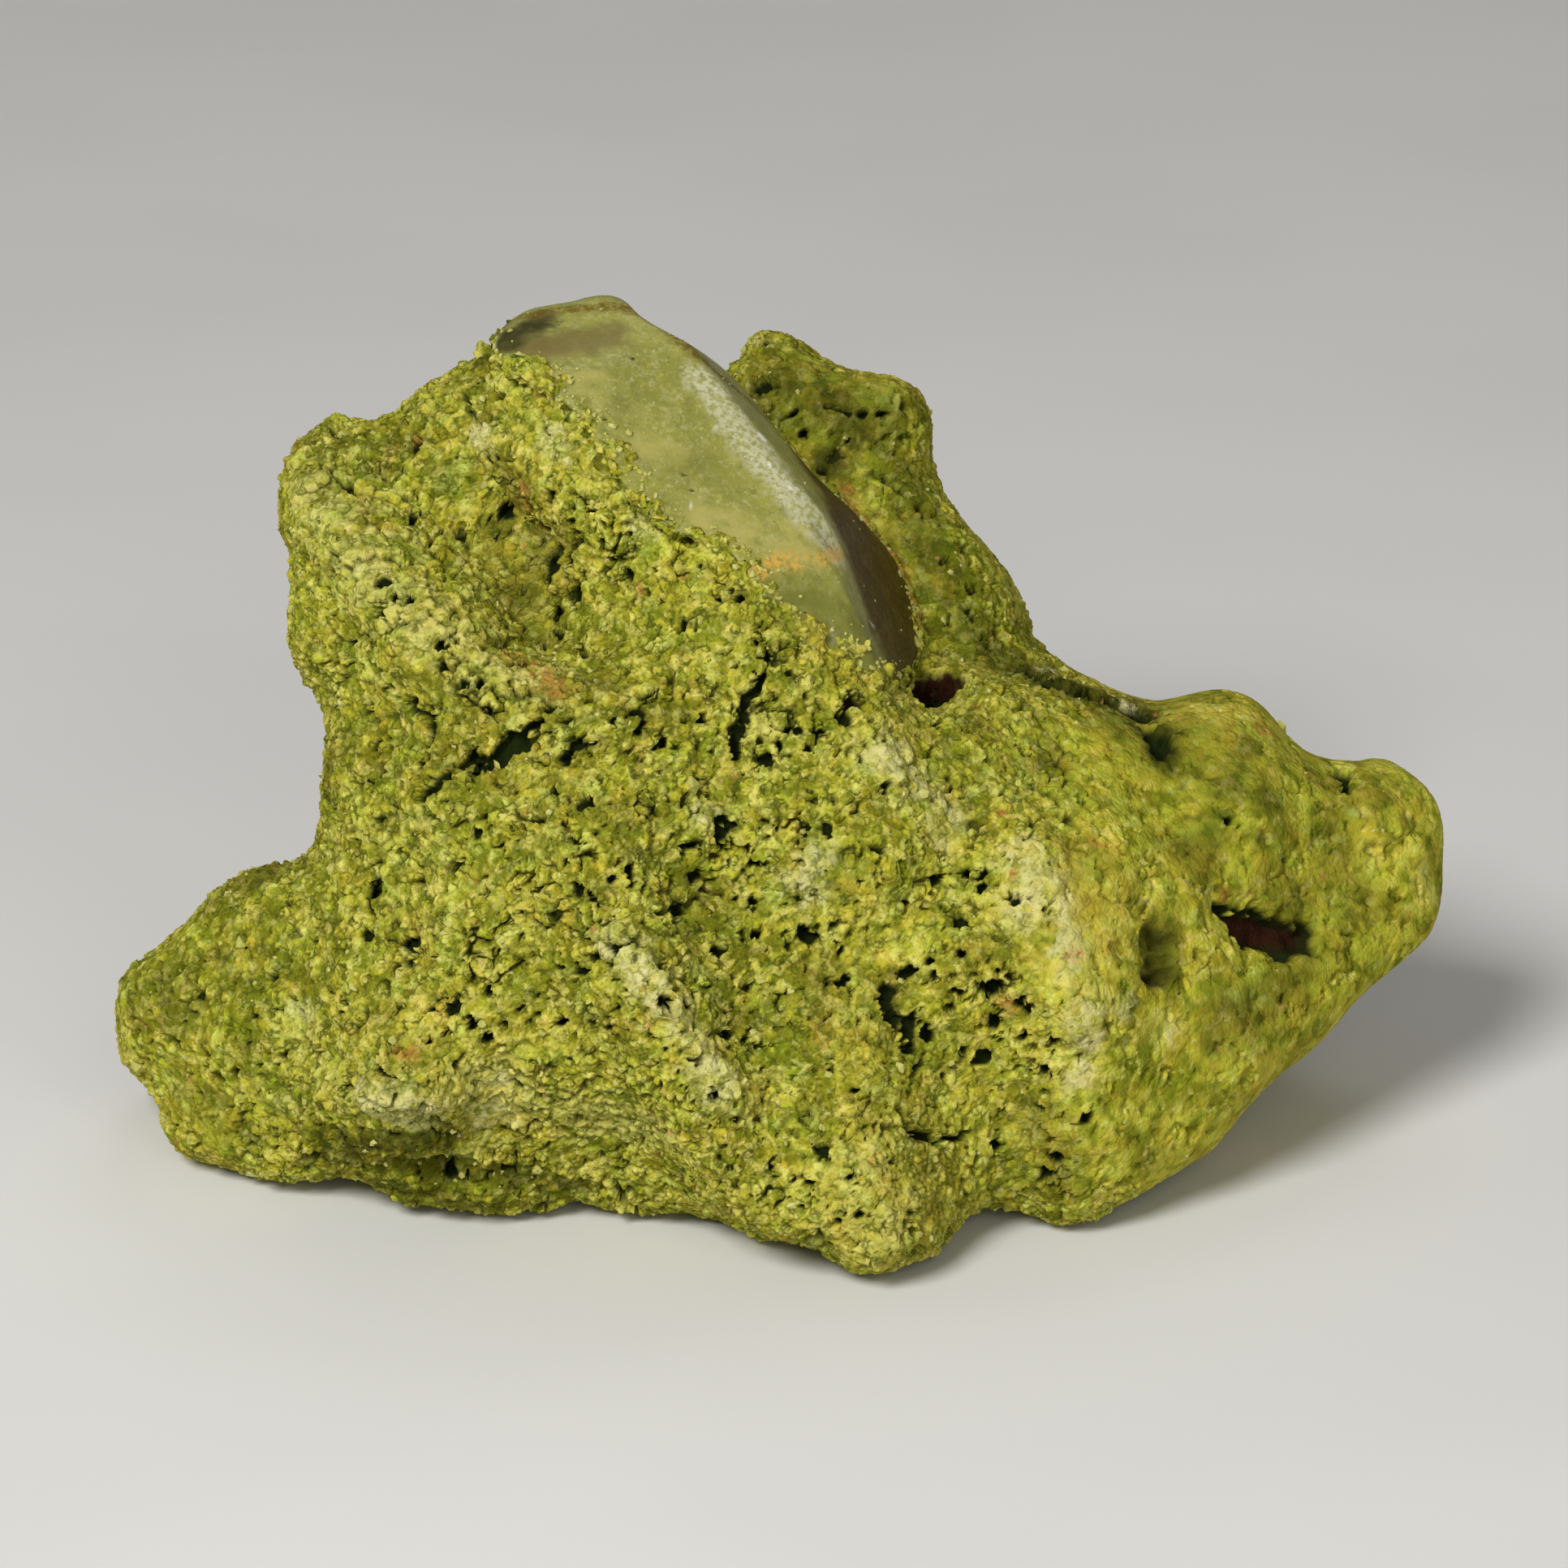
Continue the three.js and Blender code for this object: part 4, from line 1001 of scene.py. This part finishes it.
def clay_material(clay):
    """Matt crumbly clay: mottled olive yellow, green and tan, with dark pits, chalky bloom and rust; pits,
    hollows, creases and gaps darkened partly with painted shade, painted shade and light in patches, and a
    painted highlight on its lightest parts.
    """
    shader = Shader("nontronite")
    ramp, times, line, mix, layered = shader.ramp, shader.times, shader.line, shader.mix, shader.layered
    hills = shader.hills(CLAY_HILLS)
    middle, fine, grain, warmth = (hills[name] for name in ("middle", "fine", "grain", "warmth"))
    grain_gap, grain_number = shader.grains(RAGGED_GRAIN)
    carried = {name: shader.value(name) for name in CARRIED}
    tint, green, chalk, grit = (carried[name] for name in ("tint", "green", "chalk", "grit"))
    rocky = ramp(carried["calm"], 0.0, 1.0, 1.0, 0.2)

    hue = line(green, -0.22, line(tint, 0.6, times(middle, 0.8)))
    weather = line(green, -0.12, line(fine, 0.35, times(hills["broad"], 0.65)))
    colour = layered(
        clay.green_colour,
        (ramp(hue, 0.45, 0.8), clay.light_colour),
        (ramp(weather, 0.47, 0.62, 0.0, 0.65), clay.tan_colour),
        (ramp(grit, 0.65, 0.95, 0.0, 0.6), CREAM_KNOB),
        (times(ramp(grain_number, 0.6, 0.95, 0.0, 0.65), rocky), CREAM_GRAIN),
        (times(ramp(grain_number, 0.35, 0.05, 0.0, 0.65), rocky), OLIVE_GRAIN),
        (ramp(grit, 0.3, 0.05, 0.0, 0.55), GREEN_KNOB),
    )

    # Lightness: random tones of the hills, times the painted shade and painted light
    lightness = line(line(fine, 1.3, -0.65), rocky, 1.0)
    for factor in (
        line(tint, 0.4, 0.8),
        line(line(grain, 1.2, -0.6), rocky, 1.0),
        line(middle, 1.0, 0.5),
        line(carried["shadow"], -0.7, 1.0),
    ):
        lightness = times(lightness, factor)
    # Painted highlight: cream laid over the lightest parts, lit ones included
    highlight_share = ramp(lightness, 0.95, 1.7, 0.0, 0.5)
    lightness = shader.math("MINIMUM", lightness, LIGHTEST)
    shade = shader.node("ShaderNodeCombineColor", {
        "Red": times(lightness, line(warmth, 0.75, 0.625)),
        "Green": times(lightness, line(warmth, -0.25, 1.16)),
        "Blue": lightness,
    })
    colour = mix(1.0, colour, shade.outputs["Color"], blend="MULTIPLY")

    powder = line(grain, 0.5, times(fine, 0.5))
    powder = line(shader.math("SUBTRACT", grain_number, 0.5), 0.25, powder)
    bloom = times(chalk, ramp(powder, 0.36, 0.6, 0.1, 0.85))
    stray = times(ramp(hills["stray"], 0.58, 0.74, 0.0, 0.6), rocky)
    stain = times(carried["rust"], ramp(fine, 0.34, 0.62))
    fleck = ramp(hills["fleck"], 0.68, 0.76, 0.0, 0.6)
    speckle = ramp(hills["speckle"], 0.56, 0.66, 0.0, 0.85)
    # Painted shade in the gaps between the ragged grains, less on chalk
    cleft_shade = ramp(grain_gap, 0.22, 0.02, 0.0, 0.85)
    cleft_shade = times(cleft_shade, ramp(hills["broken"], 0.5, 0.62, 0.15, 1.0))
    cleft_shade = times(cleft_shade, times(rocky, ramp(chalk, 0.0, 0.8, 1.0, 0.6)))
    colour = layered(
        colour,
        # Painted highlight on the lightest parts
        (highlight_share, PAINTED_HIGHLIGHT),
        (shader.math("MAXIMUM", bloom, stray), clay.chalk_colour),
        (shader.math("MAXIMUM", stain, fleck), clay.rust_colour),
        (times(speckle, green), BLACK_SPECKLE),
        # Painted shade in the creases and in the gaps between grains
        (ramp(carried["crease"], 0.3, 0.9, 0.0, 0.75), CREASE_SHADE),
        (cleft_shade, CLEFT_SHADE),
        # Pits and hollows: black-green and red-brown, darkened partly with painted shade
        (
            shader.math("MAXIMUM", ramp(carried["pit"], 0.15, 0.7), carried["hollow"]),
            mix(carried["hollow"], clay.pit_and_shade_colour, clay.hollow_and_shade_colour),
        ),
    )

    normal = shader.bump(ramp(grain_gap, 0.0, 0.3), 0.1 * MM, 0.4)
    normal = shader.bump(fine, 0.1 * MM, 0.5, under=normal)
    normal = shader.bump(grain, 0.08 * MM, 0.6, under=normal)
    return shader.finish(Base_Color=colour, Roughness=0.95, Specular_IOR_Level=0.06, Normal=normal)


def crumb_points(centres, normals, sizes, random):
    """Corners of many crumbs, each uneven and turned its own way about the way that it faces."""
    corners = crumb_form()[0]
    count = len(centres)
    sideways = unit(np.cross(normals, random.normal(size=(count, 3))))
    third = np.cross(normals, sideways)
    upward = unit(normals + random.normal(scale=0.25, size=(count, 3)))
    stretch = random.uniform(0.75, 1.3, size=(count, 3)) * sizes[:, None]
    uneven = 1 + random.uniform(-0.35, 0.35, size=(count, len(corners)))
    local = corners[None] * uneven[..., None] * stretch[:, None]
    return (
        centres[:, None]
        + local[..., 0:1] * sideways[:, None]
        + local[..., 1:2] * third[:, None]
        + local[..., 2:3] * upward[:, None]
    ).reshape(-1, 3)


def crumb_triangles(count):
    """Triangles of as many crumbs, by the numbers of their corners."""
    corners, triangles, _ = crumb_form()
    shifts = (np.arange(count) * len(corners))[:, None, None]
    return (triangles[None] + shifts).reshape(-1, 3)


def make_crumbs(name, centres, normals, sizes, values, random):
    """One mesh of many crumbs of clay, each with its own square of the flat map."""
    corners, _, places = crumb_form()
    count = len(centres)
    mesh = mesh_of(name, crumb_points(centres, normals, sizes, random), crumb_triangles(count))
    side = math.ceil(math.sqrt(count))
    squares = np.stack([np.arange(count) % side, np.arange(count) // side], axis=1)
    flat = (places[None] + squares[:, None, None]) / side
    layer = mesh.uv_layers.new(name="OFBake")
    layer.uv.foreach_set("vector", flat.astype(np.float32).ravel())
    for key, value in values.items():
        set_values(mesh, key, np.repeat(value, len(corners)))
    mesh.shade_flat()
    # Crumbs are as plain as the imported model's own clay
    mesh.materials.append(bpy.data.materials["nontronite"])
    piece = new_piece(name, mesh)
    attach(piece, "root")


def clay_patches():
    return [each.data for each in bpy.data.objects if each.name.startswith("clay_")]


class SPECIMEN_OT_crumbs(bpy.types.Operator):
    """Loose crumbs that stick to the clay, left out where there are pits and cracks"""
    bl_idname = "specimen.crumbs"
    bl_label = "Crumbs"

    def execute(self, context):
        crumbs = context.scene.specimen_crumbs
        random = np.random.default_rng(7)
        patches = clay_patches()
        share = crumbs.number // len(patches)
        strewn = []
        for mesh in patches:
            place, normal, corners, shares = scattered(mesh, share, random)
            carried = [value_at(mesh, name, corners, shares) for name in CARRIED]
            strewn.append(np.column_stack([place, normal, *carried]))
        strewn = np.concatenate(strewn)
        place, normal = strewn[:, :3], strewn[:, 3:6]
        carried = dict(zip(CARRIED, strewn[:, 6:].T))
        sparse = random.random(len(place)) < 0.8 * carried["calm"]
        free = np.flatnonzero((carried["pit"] < 0.25) & (place[:, 2] > 0.3 * MM) & ~sparse)
        count = len(free)
        sizes = crumbs.size * random.lognormal(mean=0, sigma=0.4, size=count)
        sunk = random.uniform(0.2, 0.7, size=count)
        centres = place[free] - normal[free] * (sizes * sunk)[:, None]
        values = {name: values[free] for name, values in carried.items()}
        values["tint"] = random.random(count)
        values["grit"] = random.uniform(0.1, 0.75, size=count)
        # A random amount of painted crease shade on each crumb
        values["crease"] = random.uniform(0.2, 0.7, size=count)
        make_crumbs("crumbs", centres, normal[free], sizes, values, random)
        return {"FINISHED"}


# Share of the opal's triangles that is kept, and number of places tried for the dust on it
OPAL_KEPT = 0.4
DUST = 26000


class SPECIMEN_OT_opal(bpy.types.Operator):
    """Opal lens with its shell-shaped break, stains, specks, painted shade and painted glints, and the dust
    that lies on it
    """
    bl_idname = "specimen.opal"
    bl_label = "Opal Lens"

    def execute(self, context):
        opal = context.scene.specimen_opal
        piece = new_piece("opal_body", merged_mesh("opal_lens", "opal_body"))
        shaped(
            piece,
            ("REMESH", {"mode": "VOXEL", "voxel_size": opal.facet}),
            ("SMOOTH", {"factor": 0.5, "iterations": 14}),
        )
        mesh = piece.data
        points = points_of(mesh)
        normals = normals_of(mesh)
        tree = tree_of(mesh)
        finder = finder_of(points)
        count = len(points)
        wobble = 0.3 * cloud(points, 0.7 * MM, 300)

        surface = (tree, finder, count)
        for name, rows in OPAL_SEEN.items():
            set_values(mesh, name, share_seen(surface, rows, 0.6, wobble))
        across, up = sighted(points)
        ridge = np.array(pixels_of(OPAL_RIDGE_SEEN))
        ridge_across, ridge_down = (ridge - PHOTO_SIDE / 2).T * PHOTO_PIXEL / MM
        beside = across - np.interp(-up, ridge_down, ridge_across) + 0.5 * wobble
        # The steep side lies where the opal faces right, away from the key light, so its colour is partly
        # painted shade
        turned = smoothstep(0.0, 0.2, normals[:, 0]) * smoothstep(19.5, 16.5, up)
        set_values(mesh, "steep", smoothstep(-0.15, 0.3, beside) * turned)

        rings = np.linalg.norm(points - np.array(place_seen(tree, OPAL_RINGS_SEEN)), axis=1)
        bend = cloud(points, 4 * MM, 310)
        ripple = np.sin(rings / (0.9 * MM) + 2.5 * bend) * smoothstep(14 * MM, 5 * MM, rings)
        _, chip_level, chip_gap = lumps(warped(points, 0.2 * MM, 1 * MM, 320), 0.7 * MM, 0.3 * MM, 330)
        rough = np.maximum(values_of(mesh, "rim"), 0.5 * values_of(mesh, "veil"))
        rise = opal.ripple * ripple + 0.05 * MM * cloud(points, 2.2 * MM, 340)
        rise = rise + 0.03 * MM * rough * chip_level * smoothstep(0, 0.12 * MM, chip_gap)
        rise = rise - 0.12 * MM * values_of(mesh, "speck")
        move_vertices(mesh, points + normals * rise[:, None])
        shaped(piece, ("DECIMATE", {"ratio": OPAL_KEPT, "use_collapse_triangulate": True}))
        mesh = piece.data
        mesh.shade_smooth()
        mesh.materials.append(opal_material(opal))
        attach(piece, "root")
        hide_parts("opal_lens")
        self.dust(mesh)
        return {"FINISHED"}

    def dust(self, mesh):
        """Specks of clay on the opal, and crumbs that creep over its edges."""
        random = np.random.default_rng(11)
        place, normal, corners, shares = scattered(mesh, DUST, random)
        rim = value_at(mesh, "rim", corners, shares)
        clay = finder_of(np.concatenate([points_of(patch)[::2] for patch in clay_patches()]))
        gap = np.array([clay.find(point)[2] for point in place.tolist()])
        creep = smoothstep(0.7 * MM, 0.2 * MM, gap - 0.5 * MM * cloud(place, 1.3 * MM, 400))
        shown = normal @ np.array(SIGHT_TOWARD) > -0.1
        chance = 0.004 + 0.04 * rim + 0.12 * creep
        kept = np.flatnonzero(shown & (random.random(len(place)) < chance))
        sizes = (0.045 + 0.06 * creep[kept]) * MM * random.lognormal(mean=0, sigma=0.35, size=len(kept))
        values = {name: np.zeros(len(kept)) for name in CARRIED}
        values["tint"] = random.random(len(kept))
        values["grit"] = random.random(len(kept))
        # A random amount of painted crease shade on each speck
        values["crease"] = random.uniform(0.2, 0.8, size=len(kept))
        make_crumbs("opal_dust", place[kept], normal[kept], sizes, values, random)


# Random hills in the opal's colours: size in millimetres, detail, roughness and distortion
OPAL_HILLS = {
    "mottle": (1.5, 4, 0.6, 0), "fine": (0.3, 3, 0.6, 0), "cloudy": (3.5, 4, 0.6, 0.8),
    "whitish": (1.1, 6, 0.75, 0), "dusty": (0.5, 4, 0.75, 0), "milky": (0.35, 5, 0.8, 0),
    "dim": (0.8, 5, 0.75, 0), "painted_sparkle": (0.14, 2, 0.5, 0),
}
# Films in the opal: the hills that they lie on, from where to where they grow, their most and their colour
OPAL_FILMS = (
    ("cloudy", 0.38, 0.64, 0.8, (0.26, 0.26, 0.05)),
    ("whitish", 0.48, 0.68, 0.6, (0.45, 0.43, 0.155)),
    ("dusty", 0.55, 0.7, 0.7, (0.5, 0.45, 0.08)),
    ("milky", 0.5, 0.66, 0.65, (0.55, 0.53, 0.24)),
    ("dim", 0.48, 0.34, 0.65, (0.2, 0.2, 0.045)),
)
# Colours of the dark specks and of the painted glints and sparkles that lie on top of the films and patches
DARK_SPECK = (0.03, 0.03, 0.01)
PAINTED_GLINT = (0.8, 0.79, 0.66)


def opal_material(opal):
    """Milky translucent opal: greenish grey, brown with painted shade on its steep side, with a rusty rim
    and seam, painted shade at its dark left end, and painted glints and sparkles near its ridge.
    """
    shader = Shader("opal")
    ramp, times, line, mix, layered = shader.ramp, shader.times, shader.line, shader.mix, shader.layered
    hills = shader.hills(OPAL_HILLS)
    fine = hills["fine"]
    colour = opal.pale_colour
    for name, low, high, most, film in OPAL_FILMS:
        colour = mix(ramp(hills[name], low, high, 0.0, most), colour, film)
    # Patches: the value and the hills that shape each, its least and most, and its colour
    for name, broken_by, least, most, patch in (
        ("low", "mottle", 0.2, 0.75, (0.51, 0.455, 0.13)),
        ("dull", "mottle", 0.5, 0.9, (0.19, 0.19, 0.035)),
        ("grey", "mottle", 0.7, 1.0, (0.21, 0.165, 0.045)),
        # Dark left end: darker brownish opal with painted shade
        ("stain", "mottle", 0.85, 1.0, (0.05, 0.043, 0.008)),
        ("veil", "fine", 0.1, 0.9, (0.62, 0.59, 0.38)),
        # Steep side facing right, away from the key light: brown opal, then a darker mottled brown that is
        # painted shade
        ("steep", "fine", 0.9, 1.0, opal.brown_and_shade_colour),
        ("steep", "mottle", 0.0, 0.7, (0.06, 0.033, 0.001)),
        ("seam", "fine", 0.0, 1.0, (0.7, 0.42, 0.08)),
        ("rim", "fine", 0.3, 0.95, (0.17, 0.105, 0.01)),
    ):
        broken = ramp(hills[broken_by], 0.36, 0.6, least, most)
        colour = mix(times(shader.value(name), broken), colour, patch)
    # Painted sparkles on the veil, and painted glints
    painted_sparkle = times(ramp(hills["painted_sparkle"], 0.66, 0.74, 0.0, 0.8), shader.value("veil"))
    colour = layered(
        colour,
        (shader.value("speck"), DARK_SPECK),
        (shader.math("MAXIMUM", painted_sparkle, shader.value("glint")), PAINTED_GLINT),
    )
    rough = shader.math("MAXIMUM", shader.value("veil"), shader.value("steep"))
    normal = shader.bump(hills["mottle"], 0.08 * MM, 0.35)
    shader.surface.subsurface_method = "RANDOM_WALK"
    return shader.finish(
        Base_Color=colour, Roughness=line(rough, 0.12, ramp(fine, 0.3, 0.7, 0.27, 0.4)),
        IOR=1.45, Transmission_Weight=0.15, Specular_IOR_Level=0.1, Subsurface_Weight=0.4,
        Subsurface_Radius=(0.9 * MM, 0.85 * MM, 0.4 * MM), Subsurface_Scale=1.0,
        Normal=shader.bump(fine, 0.04 * MM, 0.15, under=normal),
    )


# Side of the floor in metres, and how light its worn patches are beside the rest
FLOOR_SIDE = 6
WORN = 0.97


class SPECIMEN_OT_stage(bpy.types.Operator):
    """Pale floor, soft studio lights and the camera at the photograph's viewing angle"""
    bl_idname = "specimen.stage"
    bl_label = "Stage"

    def execute(self, context):
        scene = context.scene
        settings = scene.specimen_stage
        bpy.ops.mesh.primitive_plane_add(size=FLOOR_SIDE)
        floor = context.active_object
        floor.name = "floor"
        shader = Shader("floor")
        wear = shader.ramp(shader.hills({"wear": (60, 3, 0.5, 0)})["wear"], 0.4, 0.6)
        worn = tuple(value * WORN for value in settings.floor_colour)
        floor.data.materials.append(shader.finish(
            Base_Color=shader.mix(wear, settings.floor_colour, worn), Roughness=0.8,
        ))

        self.light("key", (-0.24, -0.5, 0.46), 0.26, settings.key_power)
        self.light("fill", (0.22, -0.74, 0.36), 0.5, settings.fill_power)
        self.light("back", (0.1, 0.4, 0.7), 0.4, settings.back_power)
        world = bpy.data.worlds.new("sky")
        world.use_nodes = True
        background = world.node_tree.nodes["Background"]
        background.inputs["Color"].default_value = (1.0, 0.99, 0.97, 1.0)
        background.inputs["Strength"].default_value = settings.sky
        scene.world = world

        camera = bpy.data.objects.new("camera", bpy.data.cameras.new("camera"))
        scene.collection.objects.link(camera)
        camera.data.sensor_width = SENSOR_WIDTH
        camera.data.lens = SENSOR_WIDTH * SIGHT_DISTANCE / (PHOTO_SIDE * PHOTO_PIXEL)
        camera.data.clip_start = 0.01
        camera.location = EYE
        camera.rotation_euler = (-SIGHT_TOWARD).to_track_quat("-Z", "Y").to_euler()
        scene.camera = camera
        scene.view_settings.view_transform = "Standard"
        return {"FINISHED"}

    def light(self, name, place, size, power):
        """Round light at a place in metres, turned to the middle of the sight."""
        lamp = bpy.data.lights.new(name, "AREA")
        lamp.shape = "DISK"
        lamp.size = size
        lamp.energy = power
        holder = bpy.data.objects.new(name, lamp)
        bpy.context.scene.collection.objects.link(holder)
        holder.location = place
        holder.rotation_euler = (SIGHT_MIDDLE - Vector(place)).to_track_quat("-Z", "Y").to_euler()


class SPECIMEN_PT_panel(bpy.types.Panel):
    """Lists the specimen's pieces and their settings"""
    bl_idname = "SPECIMEN_PT_panel"
    bl_label = "Nontronite Specimen"
    bl_space_type = "VIEW_3D"
    bl_region_type = "UI"
    bl_category = "Specimen"

    def draw(self, context):
        for settings in SETTINGS:
            box = self.layout.box()
            group = getattr(context.scene, settings)
            for name in group.__annotations__:
                box.prop(group, name)
            box.operator(settings.replace("_", "."))


SETTINGS = {
    "specimen_clay": ClaySettings,
    "specimen_crumbs": CrumbSettings,
    "specimen_opal": OpalSettings,
    "specimen_stage": StageSettings,
}
CLASSES = (
    ClaySettings, CrumbSettings, OpalSettings, StageSettings,
    SPECIMEN_OT_clay, SPECIMEN_OT_crumbs, SPECIMEN_OT_opal, SPECIMEN_OT_stage, SPECIMEN_PT_panel,
)


def register():
    for made in CLASSES:
        bpy.utils.register_class(made)
    for name, group in SETTINGS.items():
        setattr(bpy.types.Scene, name, PointerProperty(type=group))


def unregister():
    for name in SETTINGS:
        delattr(bpy.types.Scene, name)
    for made in reversed(CLASSES):
        bpy.utils.unregister_class(made)


def main():
    register()
    bpy.ops.specimen.stage()
    bpy.ops.specimen.clay()
    bpy.ops.specimen.crumbs()
    bpy.ops.specimen.opal()


if __name__ == "__main__":
    main()
